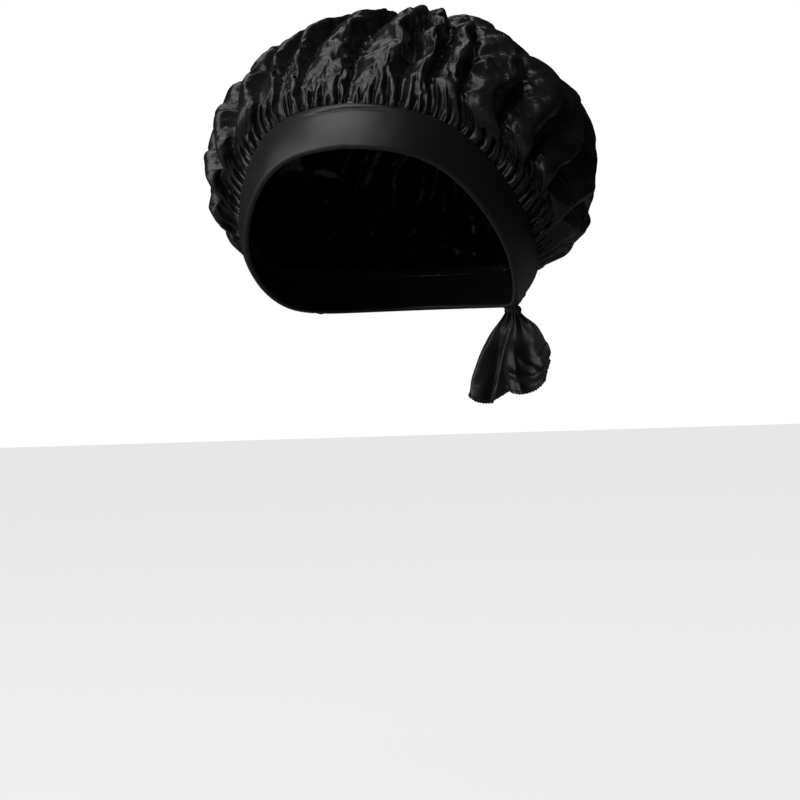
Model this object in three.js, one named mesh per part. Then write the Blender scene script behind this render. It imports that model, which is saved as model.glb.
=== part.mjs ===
// A tie-on perm cap: a puffed crown of thin coated cloth, gathered on to a smooth folded band.
// An elasticated casing closes the nape, and two tie straps run over it to a knot behind the left ear.
// Millimetres. +X is the wearer's left, +Y the back of the head, +Z up. The origin is the centre of
// the head opening. The angles called turn start at the brow and grow towards the wearer's left.
import * as THREE from "three";

const degrees = THREE.MathUtils.degToRad;
const lerp = THREE.MathUtils.lerp;
const smoothstep = THREE.MathUtils.smoothstep;
const fullTurn = 2 * Math.PI;

// The head form that the cap is shaped on
const headHalfWidth = 77;
const headHalfDepth = 97;
const headWidestLevel = 13;
const headHeightAbove = 112;
const headHeightBelow = 67;

// The line that the cap's lower edge follows round the head
const browHeight = 53;
const napeHeight = -33;
const templeTurn = degrees(58);
const templeBlendTurn = degrees(12.5);

// Cloth, and the clearance between layers that touch
const filmThickness = 0.6;
const layerGap = 0.3;

// The front band: a strip folded in half over a stiffener
const bandWidth = 25;
const interliningThickness = 0.9;
const sideSeamTurn = degrees(112);

// The nape: a gathered casing with an elastic inside
const elasticThickness = 1;
const elasticWidth = 17;
const napeGatherDepth = 1.2;
const napeGathers = 18;
const napeFadeTurn = degrees(10);

// The seam that joins the crown to the band and the casing, inside the cap
const seamWidth = 6;
const seamThickness = 1.2;

// The puffed crown
const crownPuffAtSides = 25;
const crownPuffAtEnds = 13;
const crownCentreBack = 17;
const crownLift = 22;
const crownRoomAbove = 3;
const crownHeightBelow = 66;
const crownRiseAtBrow = 7;
const crownDroopAtNape = 5;
const crownLean = degrees(42);
const crownSwell = 5;
const crownWall = 0.8;
const crownLobes = 26;
const crownLobeHeight = 14;
const crownLobeStart = -10;
const crownLobePeak = 60;
const crownLobeEnd = 160;
const crownSwathHeight = 6;
const crownSwathStart = 60;
const crownSwathPeak = 130;
const crownFlatRadius = 185;
const rimLobeDepth = 1.2;
const fullnessExponent = 2.3;

// The tie straps, which narrow and thicken towards the knot
const strapWidthAtSeam = 24;
const strapWidthAtNape = 15;
const strapWidthAtKnot = 8;
const strapThicknessAtSeam = 0.9;
const strapThicknessAtKnot = 3.4;
const strapPleatDepth = 0.7;
const strapPleats = 3;
const strapNarrowTurn = degrees(22);

// The knot, behind the left ear
const knotTurn = degrees(143);
const knotHalfLength = 7;
const knotHalfHeight = 4.8;
const knotHalfThickness = 3.2;
const knotHeightOnBand = 14;
const wrapWidth = 8;
const wrapThickness = 1.6;
const wrapSkew = 2;

// The two tails that hang from the knot, and the overlocked thread along their ends
const tailAxisYaw = degrees(28);
const tailRootRadius = 1.5;
const tailRootHalfWidth = 3.1;
const tailRootSpacing = 7;
const tailCloth = 0.8;
const outerTail = { length: 43, halfWidth: 14, lean: 6.5, foldDepth: 3.4, folds: 1.5, phase: 0.5 };
const innerTail = { length: 49, halfWidth: 12, lean: -13.5, foldDepth: 3.4, folds: 1.5, phase: 2.6 };
const tailEndRise = 11;
const overlockWidth = 2.2;
const overlockThickness = 1.4;

// The stitching across each side seam
const stitchWidth = 2.4;
const stitchThickness = 0.7;
const stitchMargin = 3;

// Places across the thickness of the band, measured out from the head
const innerLeafOut = layerGap;
const fillingOut = innerLeafOut + filmThickness + layerGap;
const bandOut = fillingOut + interliningThickness + layerGap + filmThickness;
const casingSeamOut = fillingOut + filmThickness;
const casingFullOut = fillingOut + elasticThickness + layerGap + filmThickness;
const rimAcross = bandWidth + layerGap;

// Height of the cap's lower edge: 1 at the brow, falling to 0 at the nape
function browShareAt(turn) {
  const away = Math.abs(Math.atan2(Math.sin(turn), Math.cos(turn)));
  const fall = (from) => 1 / (1 + Math.exp((from - templeTurn) / templeBlendTurn));
  return fall(away) / fall(0);
}

function edgeHeight(turn) {
  return lerp(napeHeight, browHeight, browShareAt(turn));
}

function headReach(height) {
  return height > headWidestLevel ? headHeightAbove : headHeightBelow;
}

function headPoint(turn, height) {
  const riseShare = (height - headWidestLevel) / headReach(height);
  const narrowShare = Math.sqrt(Math.max(1 - riseShare * riseShare, 0));
  const x = headHalfWidth * narrowShare * Math.sin(turn);
  const y = -headHalfDepth * narrowShare * Math.cos(turn);
  return new THREE.Vector3(x, y, height);
}

function headNormal(point) {
  const reach = headReach(point.z);
  const x = point.x / headHalfWidth ** 2;
  const y = point.y / headHalfDepth ** 2;
  const z = (point.z - headWidestLevel) / reach ** 2;
  return new THREE.Vector3(x, y, z).normalize();
}

// A point of the band: across it from its lower edge, and out from the head
function bandPoint(turn, across, out) {
  const step = degrees(0.5);
  const before = headPoint(turn - step, edgeHeight(turn - step));
  const after = headPoint(turn + step, edgeHeight(turn + step));
  const place = headPoint(turn, edgeHeight(turn));
  const along = after.sub(before).normalize();
  const up = new THREE.Vector3().crossVectors(headNormal(place), along).normalize();
  if (up.z < 0) up.negate();
  const flat = place.addScaledVector(up, across);
  const rise = flat.z - headWidestLevel;
  const stretch = Math.hypot(flat.x / headHalfWidth, flat.y / headHalfDepth, rise / headReach(flat.z));
  const onHead = new THREE.Vector3(flat.x, flat.y, rise).divideScalar(stretch);
  onHead.z += headWidestLevel;
  return onHead.addScaledVector(headNormal(onHead), out);
}

// Evenly spaced values, both ends included
function spread(first, last, steps) {
  return Array.from({ length: steps + 1 }, (_, i) => lerp(first, last, i / steps));
}

// Points and triangles as a geometry whose faces point out
function geometryOf(points, triangles) {
  const cross = new THREE.Vector3();
  const middle = points.reduce((sum, p) => sum.add(p), new THREE.Vector3()).divideScalar(points.length);
  const centred = points.map((p) => p.clone().sub(middle));
  const volumes = triangles.map(([a, b, c]) => centred[a].dot(cross.crossVectors(centred[b], centred[c])));
  const insideOut = volumes.reduce((sum, v) => sum + v, 0) < 0;
  const faces = insideOut ? triangles.map(([a, b, c]) => [a, c, b]) : triangles;
  const geometry = new THREE.BufferGeometry();
  const places = points.flatMap((p) => [p.x, p.y, p.z]);
  geometry.setAttribute("position", new THREE.Float32BufferAttribute(places, 3));
  geometry.setIndex(faces.flat());
  geometry.computeVertexNormals();
  return geometry;
}

// Walls between neighbouring rings, which are lists of points laid one after the other
function wallTriangles(ringCount, pointCount, closed) {
  const triangles = [];
  for (let i = 0; i < (closed ? ringCount : ringCount - 1); i++) {
    for (let j = 0; j < pointCount; j++) {
      const a = i * pointCount + j;
      const b = i * pointCount + ((j + 1) % pointCount);
      const next = ((i + 1) % ringCount) * pointCount - i * pointCount;
      triangles.push([a, b, b + next], [a, b + next, a + next]);
    }
  }
  return triangles;
}

function capTriangles(section) {
  const triangles = THREE.ShapeUtils.triangulateShape(section, []);
  const first = THREE.ShapeUtils.area(triangles[0].map((i) => section[i]));
  const alike = first * THREE.ShapeUtils.area(section) > 0;
  return alike ? triangles : triangles.map(([a, b, c]) => [a, c, b]);
}

// A solid that carries a section through a row of stations and closes both ends
function sweptSolid(stations, sectionAt, place, capShape = (section) => section) {
  const sections = stations.map(sectionAt);
  const points = sections.flatMap((section, i) => section.map((p) => place(p, stations[i])));
  const count = sections[0].length;
  const triangles = wallTriangles(stations.length, count, false);
  const lastCorner = (stations.length - 1) * count;
  const firstCap = capTriangles(capShape(sections[0], stations[0]));
  const lastCap = capTriangles(capShape(sections.at(-1), stations.at(-1)));
  for (const [a, b, c] of firstCap) triangles.push([c, b, a]);
  for (const [a, b, c] of lastCap) triangles.push([lastCorner + a, lastCorner + b, lastCorner + c]);
  return geometryOf(points, triangles);
}

// The same for a row of stations that comes back to its start
function ringSolid(stations, sectionAt, place) {
  const sections = stations.map(sectionAt);
  const points = sections.flatMap((section, i) => section.map((p) => place(p, stations[i])));
  return geometryOf(points, wallTriangles(stations.length, sections[0].length, true));
}

function onHeadForm(p, turn) {
  return bandPoint(turn, p.x, p.y);
}

// Flat lines of a section are cut into steps, so that they follow the head's curve
const acrossSteps = 2;
const foldSteps = 3;

function flatLine(from, to, out) {
  return spread(from, to, acrossSteps).map((across) => new THREE.Vector2(across, out));
}

// Section of a strip folded in half along its lower edge, with both leaves open at the top
function foldedSection(width, outside) {
  const foldRadius = (outside - innerLeafOut) / 2;
  const arc = (radius) => spread(0, Math.PI, foldSteps).slice(1, -1).map((angle) => new THREE.Vector2(
    foldRadius - radius * Math.sin(angle),
    innerLeafOut + foldRadius + radius * Math.cos(angle),
  ));
  return [
    ...flatLine(width, foldRadius, outside),
    ...arc(foldRadius),
    ...flatLine(foldRadius, width, innerLeafOut),
    ...flatLine(width, foldRadius, innerLeafOut + filmThickness),
    ...arc(foldRadius - filmThickness).reverse(),
    ...flatLine(foldRadius, width, outside - filmThickness),
  ];
}

function boxSection(low, high, inside, outside) {
  return [...flatLine(low, high, inside), ...flatLine(high, low, outside)];
}

// The turn that a length takes up along the band, at a distance out from the head
function turnOf(length, turn, out) {
  const step = degrees(0.5);
  const before = bandPoint(turn - step, 0, out);
  const after = bandPoint(turn + step, 0, out);
  return (length * 2 * step) / after.distanceTo(before);
}

// Front band and the stiffener that it is folded over
function frontBand() {
  const section = foldedSection(bandWidth, bandOut);
  return sweptSolid(spread(-sideSeamTurn, sideSeamTurn, 52), () => section, onHeadForm);
}

function bandInterlining() {
  const foldRoom = (bandOut - innerLeafOut) / 2;
  const outside = fillingOut + interliningThickness;
  const section = boxSection(foldRoom, bandWidth - layerGap, fillingOut, outside);
  return sweptSolid(spread(-sideSeamTurn, sideSeamTurn, 52), () => section, onHeadForm);
}

// Nape casing: thin at the side seams, then full height and gathered over the elastic
const napeStart = sideSeamTurn + turnOf(layerGap, sideSeamTurn, innerLeafOut);
const napeEnd = fullTurn - napeStart;

function napeFullShare(turn) {
  const fromSeam = Math.min(turn - napeStart, napeEnd - turn);
  return smoothstep(fromSeam, 0, napeFadeTurn);
}

function casingOutAt(turn) {
  return lerp(casingSeamOut, casingFullOut, napeFullShare(turn));
}

function casingReachAt(turn) {
  return casingOutAt(turn) + napeGatherDepth * napeFullShare(turn);
}

function napeCasing() {
  const stationsPerGather = 4;
  const stations = spread(napeStart, napeEnd, napeGathers * stationsPerGather);
  const sectionAt = (turn) => {
    const phase = ((turn - napeStart) / (napeEnd - napeStart)) * napeGathers * fullTurn;
    const gatherShare = (0.5 - 0.5 * Math.cos(phase)) * napeFullShare(turn);
    return foldedSection(bandWidth, casingOutAt(turn) + napeGatherDepth * gatherShare);
  };
  return sweptSolid(stations, sectionAt, onHeadForm);
}

function napeElastic() {
  const low = (bandWidth - elasticWidth) / 2;
  const section = boxSection(low, low + elasticWidth, fillingOut, fillingOut + elasticThickness);
  const stations = spread(napeStart + napeFadeTurn, napeEnd - napeFadeTurn, 36);
  return sweptSolid(stations, () => section, onHeadForm);
}

// Overlocked seam allowance that stands up inside the crown, all round
function crownSeam() {
  const section = boxSection(rimAcross, rimAcross + seamWidth, innerLeafOut, innerLeafOut + seamThickness);
  const stations = spread(0, fullTurn, 96).slice(0, -1);
  return ringSolid(stations, () => section, onHeadForm);
}

// The crown's smooth outer form: turn round it, and climb from level 0 to the top at a right angle
const crownHalfWidth = headHalfWidth + crownPuffAtSides;
const crownHalfDepth = headHalfDepth + crownPuffAtEnds;
const crownCentreHeight = headWidestLevel + crownLift;
const crownHeightAbove = headHeightAbove - crownLift + crownRoomAbove;

function crownReach(height) {
  return height > crownCentreHeight ? crownHeightAbove : crownHeightBelow;
}

function crownPoint(turn, climb) {
  const outShare = Math.abs(Math.cos(climb)) ** (2 / fullnessExponent);
  const upShare = Math.sign(climb) * Math.abs(Math.sin(climb)) ** (2 / fullnessExponent);
  const x = crownHalfWidth * outShare * Math.sin(turn);
  const y = crownCentreBack - crownHalfDepth * outShare * Math.cos(turn);
  const z = crownCentreHeight + (climb > 0 ? crownHeightAbove : crownHeightBelow) * upShare;
  return new THREE.Vector3(x, y, z);
}

// The climb at which the puff starts: above the seam at the brow, below it at the sides and nape
function lowestClimb(turn) {
  const droop = lerp(crownDroopAtNape, -crownRiseAtBrow, browShareAt(turn));
  const height = bandPoint(turn, rimAcross, bandOut).z - droop;
  const riseShare = (height - crownCentreHeight) / crownReach(height);
  return Math.sign(riseShare) * Math.asin(Math.min(Math.abs(riseShare), 1) ** (fullnessExponent / 2));
}

// Where the puff is pushed out or in: direction from its centre, how wide, and share of the swell
const swellShares = [
  { left: 0.72, back: 0.15, up: 0.67, wide: 0.24, out: -1.3 },
  { left: 0.88, back: 0.25, up: 0.4, wide: 0.2, out: 0.6 },
  { left: -0.95, back: 0.05, up: 0.3, wide: 0.16, out: 0.8 },
  { left: -0.7, back: -0.12, up: 0.7, wide: 0.34, out: -0.9 },
  { left: -0.95, back: -0.1, up: -0.3, wide: 0.25, out: -0.7 },
];
const crownCentre = new THREE.Vector3(0, crownCentreBack, crownCentreHeight);

// Where a line from the crown's centre meets its smooth form
function onCrown(direction) {
  const reach = crownReach(crownCentreHeight + direction.z);
  const level = Math.hypot(direction.x / crownHalfWidth, direction.y / crownHalfDepth);
  const size = level ** fullnessExponent + Math.abs(direction.z / reach) ** fullnessExponent;
  let far = size ** (-1 / fullnessExponent);
  for (const { left, back, up, wide, out } of swellShares) {
    const apart = direction.angleTo(new THREE.Vector3(left, back, up));
    far += crownSwell * out * Math.exp(-((apart / wide) ** 2));
  }
  return crownCentre.clone().addScaledVector(direction, far);
}

// The seam measured off, so that the folds lie evenly along it
const rimTurns = spread(0, fullTurn, 720);
const rimPoints = rimTurns.map((turn) => bandPoint(turn, rimAcross, bandOut));
const rimDistances = [0];
for (let i = 1; i < rimPoints.length; i++) {
  rimDistances.push(rimDistances[i - 1] + rimPoints[i].distanceTo(rimPoints[i - 1]));
}

function turnAlongRim(share) {
  const distance = share * rimDistances.at(-1);
  const i = Math.max(rimDistances.findIndex((reach) => reach >= distance), 1);
  const stepShare = (distance - rimDistances[i - 1]) / (rimDistances[i] - rimDistances[i - 1]);
  return lerp(rimTurns[i - 1], rimTurns[i], stepShare);
}

// The folds are uneven, with rounded ridges and narrow valleys
function lobeEdge(i) {
  return (i + 0.22 * Math.sin((fullTurn * 7 * i) / crownLobes)) / crownLobes;
}

function crownStations() {
  const stations = [];
  const stationsPerLobe = 3;
  for (let i = 0; i < crownLobes; i++) {
    const heightShare = 0.8 + 0.2 * Math.cos((fullTurn * 5 * i) / crownLobes);
    const endShare = 1 + 0.2 * Math.sin((fullTurn * 9 * i) / crownLobes);
    const swathShare = 0.8 + 0.2 * Math.cos((fullTurn * 3 * Math.floor(i / 2)) / (crownLobes / 2));
    for (let k = 0; k < stationsPerLobe; k++) {
      const turn = turnAlongRim(lerp(lobeEdge(i), lobeEdge(i + 1), k / stationsPerLobe));
      const ridgeShare = Math.sin((Math.PI * k) / stationsPerLobe);
      const swathRidgeShare = Math.sin(Math.PI * ((i % 2) + k / stationsPerLobe) / 2);
      stations.push({ turn, ridgeShare, heightShare, endShare, swathRidgeShare, swathShare });
    }
  }
  return stations;
}

// How far the folds stand out or in: lobes by distance from the seam, and the wider swaths that pairs
// of lobes run into, by place on the disc of cloth
const meanShare = 0.62;

function lobeHeight({ ridgeShare, heightShare, endShare }, distance) {
  const riseShare = smoothstep(distance, crownLobeStart, crownLobePeak);
  const fallShare = 1 - smoothstep(distance, crownLobePeak, crownLobeEnd * endShare);
  return crownLobeHeight * heightShare * riseShare * fallShare * (ridgeShare - meanShare);
}

function swathHeight({ swathRidgeShare, swathShare }, place) {
  const riseShare = smoothstep(place, crownSwathStart, crownSwathPeak);
  const fallShare = 1 - smoothstep(place, crownSwathPeak, crownFlatRadius);
  return crownSwathHeight * swathShare * riseShare * fallShare * (swathRidgeShare - meanShare);
}

// The cloth bulges out where it leaves the seam, and then runs over the puff to its leaning top
const leaveShare = 0.16;
const bulgeShare = 0.6;
const pullShare = 0.4;
const climbShares = [0, 0.14, 0.3, 0.46, 0.64, 0.82];
const topDirection = new THREE.Vector3(0, Math.sin(crownLean), Math.cos(crownLean));

function between(from, to, share) {
  const angle = from.angleTo(to);
  const start = from.clone().multiplyScalar(Math.sin((1 - share) * angle));
  return start.addScaledVector(to, Math.sin(share * angle)).divideScalar(Math.sin(angle));
}

function crownLine(station) {
  const { turn, ridgeShare } = station;
  const rim = bandPoint(turn, rimAcross, bandOut);
  const outward = bandPoint(turn, rimAcross, bandOut).sub(bandPoint(turn, rimAcross, 0)).normalize();
  const upward = bandPoint(turn, rimAcross, 0).sub(bandPoint(turn, bandWidth, 0)).normalize();
  const firstClimb = lerp(lowestClimb(turn), Math.PI / 2, leaveShare);
  const first = crownPoint(turn, firstClimb).sub(crownCentre).normalize();
  const upper = climbShares.map((share) => onCrown(between(first, topDirection, share)));
  const ahead = upper[1].clone().sub(upper[0]).normalize();
  const leave = outward.clone().multiplyScalar(bulgeShare).add(upward).normalize();
  const reach = pullShare * rim.distanceTo(upper[0]);
  const curve = new THREE.CubicBezierCurve3(
    rim,
    rim.clone().addScaledVector(leave, reach),
    upper[0].clone().addScaledVector(ahead, -reach),
    upper[0],
  );
  const middle = curve.getPoint(0.5);
  const line = [rim.clone().addScaledVector(outward, rimLobeDepth * ridgeShare)];
  const points = [middle, ...upper];
  const distances = [rim.distanceTo(middle)];
  for (let i = 1; i < points.length; i++) {
    distances.push(distances[i - 1] + points[i].distanceTo(points[i - 1]));
  }
  const whole = distances.at(-1) + points.at(-1).distanceTo(onCrown(topDirection));
  points.forEach((point, i) => {
    const away = point.clone().sub(crownCentre).normalize();
    const place = (crownFlatRadius * distances[i]) / whole;
    const fold = lobeHeight(station, distances[i]) + swathHeight(station, place);
    line.push(point.clone().addScaledVector(away, fold));
  });
  return line;
}

// A shell of even wall that hangs from its top point and is open at its first ring
function openShell(rings, top, wall) {
  const count = rings[0].length;
  const skin = [...rings.flat(), top];
  const skinTriangles = wallTriangles(rings.length, count, false);
  const lastRing = (rings.length - 1) * count;
  for (let j = 0; j < count; j++) {
    skinTriangles.push([lastRing + j, lastRing + ((j + 1) % count), skin.length - 1]);
  }
  const normals = skin.map(() => new THREE.Vector3());
  for (const [a, b, c] of skinTriangles) {
    const side = skin[b].clone().sub(skin[a]);
    const normal = side.cross(skin[c].clone().sub(skin[a]));
    for (const corner of [a, b, c]) normals[corner].add(normal);
  }
  const inward = -Math.sign(normals.at(-1).z);
  const lining = skin.map((p, i) => p.clone().addScaledVector(normals[i].normalize(), inward * wall));
  const triangles = [...skinTriangles];
  for (const [a, b, c] of skinTriangles) {
    triangles.push([a + skin.length, c + skin.length, b + skin.length]);
  }
  for (let j = 0; j < count; j++) {
    const next = (j + 1) % count;
    triangles.push([next, j, j + skin.length], [next, j + skin.length, next + skin.length]);
  }
  return geometryOf([...skin, ...lining], triangles);
}

function crown() {
  const lines = crownStations().map(crownLine);
  const rings = lines[0].map((_, ring) => lines.map((line) => line[ring]));
  return openShell(rings, onCrown(topDirection), crownWall);
}

// The knot's own frame: x forwards along the band, y out from the head, z up across the band
const knotOut = casingReachAt(knotTurn) + 2 * layerGap + wrapThickness + knotHalfThickness;
const knotCentre = bandPoint(knotTurn, knotHeightOnBand, knotOut);
const knotForward = bandPoint(knotTurn - degrees(1), knotHeightOnBand, knotOut)
  .sub(bandPoint(knotTurn + degrees(1), knotHeightOnBand, knotOut))
  .normalize();
const knotOutward = knotCentre.clone().sub(bandPoint(knotTurn, knotHeightOnBand, 0)).normalize();
const knotUp = new THREE.Vector3().crossVectors(knotForward, knotOutward).normalize();
knotOutward.crossVectors(knotUp, knotForward);

// Tie strap in band coordinates: how far along it is, and where it lies across and out
function strapSolid(seamTurn, endTurn, narrowWidth, steps) {
  const length = Math.abs(endTurn - seamTurn);
  const sectionAt = (turn) => {
    const fromSeam = Math.abs(turn - seamTurn);
    const toKnot = length - fromSeam;
    const narrowShare = smoothstep(fromSeam, 0, strapNarrowTurn);
    const knotShare = 1 - smoothstep(toKnot, 0, strapNarrowTurn / 2);
    const width = lerp(lerp(strapWidthAtSeam, narrowWidth, narrowShare), strapWidthAtKnot, knotShare);
    const centre = lerp(bandWidth / 2, knotHeightOnBand, smoothstep(fromSeam / length, 0, 1));
    const thickness = lerp(strapThicknessAtSeam, strapThicknessAtKnot, knotShare);
    const onNape = casingReachAt(turn) + layerGap;
    const inside = lerp(onNape, knotOut - thickness / 2, knotShare);
    const low = Math.max(centre - width / 2, 0);
    const pleat = (share) => strapPleatDepth * narrowShare * Math.sin(share * strapPleats * Math.PI) ** 2;
    const outer = spread(0, 1, 2 * strapPleats).map((share) => new THREE.Vector2(
      low + width * share,
      inside + thickness + pleat(share),
    ));
    const inner = spread(1, 0, 3).map((share) => new THREE.Vector2(low + width * share, inside));
    return [...outer, ...inner];
  };
  return sweptSolid(spread(seamTurn, endTurn, steps), sectionAt, onHeadForm);
}

const knotEndTurn = turnOf(knotHalfLength + layerGap, knotTurn, knotOut);

function leftTieStrap() {
  return strapSolid(napeStart, knotTurn - knotEndTurn, strapWidthAtNape, 14);
}

function rightTieStrap() {
  return strapSolid(napeEnd, knotTurn + knotEndTurn, strapWidthAtNape, 40);
}

// Core of the knot: a bundle of cloth, fullest in the middle, flat where the straps enter it
function knotCore() {
  const fullShares = [0.62, 0.9, 1, 1, 1, 0.9, 0.62];
  const stations = spread(-knotHalfLength, knotHalfLength, fullShares.length - 1);
  const sectionAt = (x) => {
    const share = fullShares[stations.indexOf(x)];
    return spread(0, fullTurn, 16).slice(0, -1).map((angle) => new THREE.Vector2(
      knotHalfThickness * share * Math.cos(angle),
      knotHalfHeight * share * Math.sin(angle),
    ));
  };
  return sweptSolid(stations, sectionAt, (p, x) => new THREE.Vector3(x, p.x, p.y));
}

// The turn of cloth that is pulled tight over the core
function knotWrap() {
  const crownedShares = [[-0.5, 0], [-0.42, 0.7], [-0.2, 1], [0.2, 1], [0.42, 0.7], [0.5, 0]];
  const section = crownedShares.map(([x, up]) => new THREE.Vector2(wrapWidth * x, wrapThickness * up));
  const place = (p, angle) => {
    const outY = Math.cos(angle) / knotHalfThickness;
    const outZ = Math.sin(angle) / knotHalfHeight;
    const out = new THREE.Vector3(0, outY, outZ).normalize();
    const onCore = new THREE.Vector3(
      p.x + wrapSkew * Math.sin(angle),
      knotHalfThickness * Math.cos(angle),
      knotHalfHeight * Math.sin(angle),
    );
    return onCore.addScaledVector(out, layerGap + p.y);
  };
  return ringSolid(spread(0, fullTurn, 28).slice(0, -1), () => section, place);
}

// A tail in its own frame: x along the axis it swings on, y out, z up, with the axis at its root
function tailPoint(tail, acrossShare, downShare, offset) {
  const halfWidth = lerp(tailRootHalfWidth, tail.halfWidth, downShare);
  const x = acrossShare * halfWidth + tail.lean * downShare;
  const drop = tail.length * downShare - tailEndRise * downShare * acrossShare ** 2;
  const wave = Math.sin(Math.PI * tail.folds * acrossShare + tail.phase);
  const y = tail.foldDepth * smoothstep(downShare, 0, 0.6) * wave + offset;
  return new THREE.Vector3(x, y, -drop);
}

function tailSolid(tail) {
  const acrossShares = spread(-1, 1, 10);
  const bead = [20, 50, 80].map((angle) => ({
    lift: tailRootRadius * Math.cos(degrees(angle)),
    half: tailRootRadius * Math.sin(degrees(angle)),
    downShare: 0,
  }));
  const cloth = spread(0, 1, 12).map((downShare) => ({
    lift: 0,
    half: lerp(tailRootRadius, tailCloth / 2, smoothstep(downShare, 0, 0.3)),
    downShare,
  }));
  const sectionAt = () => [
    ...acrossShares.map((share) => new THREE.Vector2(share, -1)),
    ...acrossShares.toReversed().map((share) => new THREE.Vector2(share, 1)),
  ];
  const place = (p, station) => {
    const point = tailPoint(tail, p.x, station.downShare, p.y * station.half);
    point.z += station.lift;
    return point;
  };
  // The ends are closed along the waves of the cloth, as they lie seen from above
  const fromAbove = (section, station) => section.map((p) => place(p, station))
    .map((point) => new THREE.Vector2(point.x, point.y));
  return sweptSolid([...bead, ...cloth], sectionAt, place, fromAbove);
}

// Thread along a tail's lower edge
function tailOverlock(tail) {
  const half = overlockThickness / 2;
  const section = boxSection(layerGap, layerGap + overlockWidth, -half, half);
  const place = (p, share) => {
    const point = tailPoint(tail, share, 1, p.y);
    point.z -= p.x;
    return point;
  };
  return sweptSolid(spread(-1, 1, 20), () => section, place);
}

// Stitching that holds a strap's end and the casing to the end of the band
function sideStitches(turn) {
  const inside = bandOut + layerGap;
  const half = turnOf(stitchWidth / 2, turn, inside);
  const section = boxSection(stitchMargin, bandWidth - stitchMargin, inside, inside + stitchThickness);
  return sweptSolid(spread(turn - half, turn + half, 2), () => section, onHeadForm);
}

// Materials: glossy black film outside, duller thread, elastic and felt
function cloth(color, roughness) {
  return new THREE.MeshStandardMaterial({ color, roughness, metalness: 0 });
}

const film = () => cloth(0x0b0b0c, 0.3);
const bandFilm = () => cloth(0x0d0d0e, 0.36);
const thread = () => cloth(0x171718, 0.85);
const felt = () => cloth(0x232324, 0.95);
const elastic = () => cloth(0x1c1c1d, 0.85);

function mesh(name, geometry, material) {
  const piece = new THREE.Mesh(geometry, material);
  piece.name = name;
  return piece;
}

const cap = new THREE.Group();
cap.add(
  mesh("crown", crown(), film()),
  mesh("crown_seam_overlock", crownSeam(), thread()),
  mesh("front_band", frontBand(), bandFilm()),
  mesh("band_interlining", bandInterlining(), felt()),
  mesh("nape_casing", napeCasing(), bandFilm()),
  mesh("nape_elastic", napeElastic(), elastic()),
  mesh("left_tie_strap", leftTieStrap(), bandFilm()),
  mesh("right_tie_strap", rightTieStrap(), bandFilm()),
  mesh("left_side_seam_stitches", sideStitches(sideSeamTurn), thread()),
  mesh("right_side_seam_stitches", sideStitches(-sideSeamTurn), thread()),
);

const knot = new THREE.Group();
knot.position.copy(knotCentre);
knot.quaternion.setFromRotationMatrix(new THREE.Matrix4().makeBasis(knotForward, knotOutward, knotUp));
knot.add(mesh("knot_core", knotCore(), bandFilm()), mesh("knot_wrap", knotWrap(), bandFilm()));
cap.add(knot);

// Both tails swing on one level line under the knot
const tailRootDrop = knotHalfHeight + layerGap + wrapThickness + layerGap + tailRootRadius;
const tails = new THREE.Group();
tails.position.copy(knotCentre);
tails.position.z -= tailRootDrop;
tails.rotation.z = Math.atan2(knotForward.y, knotForward.x) + tailAxisYaw;
for (const [name, tail, side] of [["outer_tail", outerTail, 1], ["inner_tail", innerTail, -1]]) {
  const root = new THREE.Group();
  root.position.x = (side * tailRootSpacing) / 2;
  root.add(
    mesh(name, tailSolid(tail), bandFilm()),
    mesh(`${name}_overlock`, tailOverlock(tail), thread()),
  );
  tails.add(root);
}
cap.add(tails);

export default cap;
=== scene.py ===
import math
import random

import bmesh
import bpy
import numpy as np
from mathutils import Matrix, Vector, noise


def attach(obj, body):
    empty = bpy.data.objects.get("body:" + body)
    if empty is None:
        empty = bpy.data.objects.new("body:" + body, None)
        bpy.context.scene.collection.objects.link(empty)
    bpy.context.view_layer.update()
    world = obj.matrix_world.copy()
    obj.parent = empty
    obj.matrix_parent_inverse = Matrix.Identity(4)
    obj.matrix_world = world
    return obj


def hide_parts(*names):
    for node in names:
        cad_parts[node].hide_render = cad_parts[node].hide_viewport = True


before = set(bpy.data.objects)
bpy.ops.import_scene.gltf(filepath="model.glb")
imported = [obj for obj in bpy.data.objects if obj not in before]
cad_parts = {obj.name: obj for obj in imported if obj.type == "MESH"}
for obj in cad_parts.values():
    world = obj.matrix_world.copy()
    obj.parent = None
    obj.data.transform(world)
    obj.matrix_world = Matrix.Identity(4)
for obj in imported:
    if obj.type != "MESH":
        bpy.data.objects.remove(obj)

bl_info = {
    "name": "Tie-on perm cap",
    "version": (1, 0, 0),
    "blender": (4, 5, 0),
    "location": "3D View > Sidebar > Perm Cap",
    "description": "Dresses the packed perm cap: crown, band, nape casing, ties, knot, tails and seams",
    "category": "Mesh",
}

MM = 0.001
WHOLE_TURN = 2 * math.pi
SEAM_LIFT = 0.3 * MM  # How far above the band's edge the crown is sewn on
NEEDLE = math.radians(0.25)  # Between the side seams and what starts beside them
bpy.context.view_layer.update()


def length_prop(name, description, value):
    return bpy.props.FloatProperty(name=name, description=description, default=value, unit="LENGTH")


def turn_prop(name, description, degrees):
    return bpy.props.FloatProperty(
        name=name, description=description, default=math.radians(degrees), unit="ROTATION")


def number_prop(name, description, value):
    kind = bpy.props.IntProperty if isinstance(value, int) else bpy.props.FloatProperty
    return kind(name=name, description=description, default=value)


def colour_prop(name, description, value):
    return bpy.props.FloatVectorProperty(
        name=name, description=description, default=value, size=3, min=0, max=1, subtype="COLOR")


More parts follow.
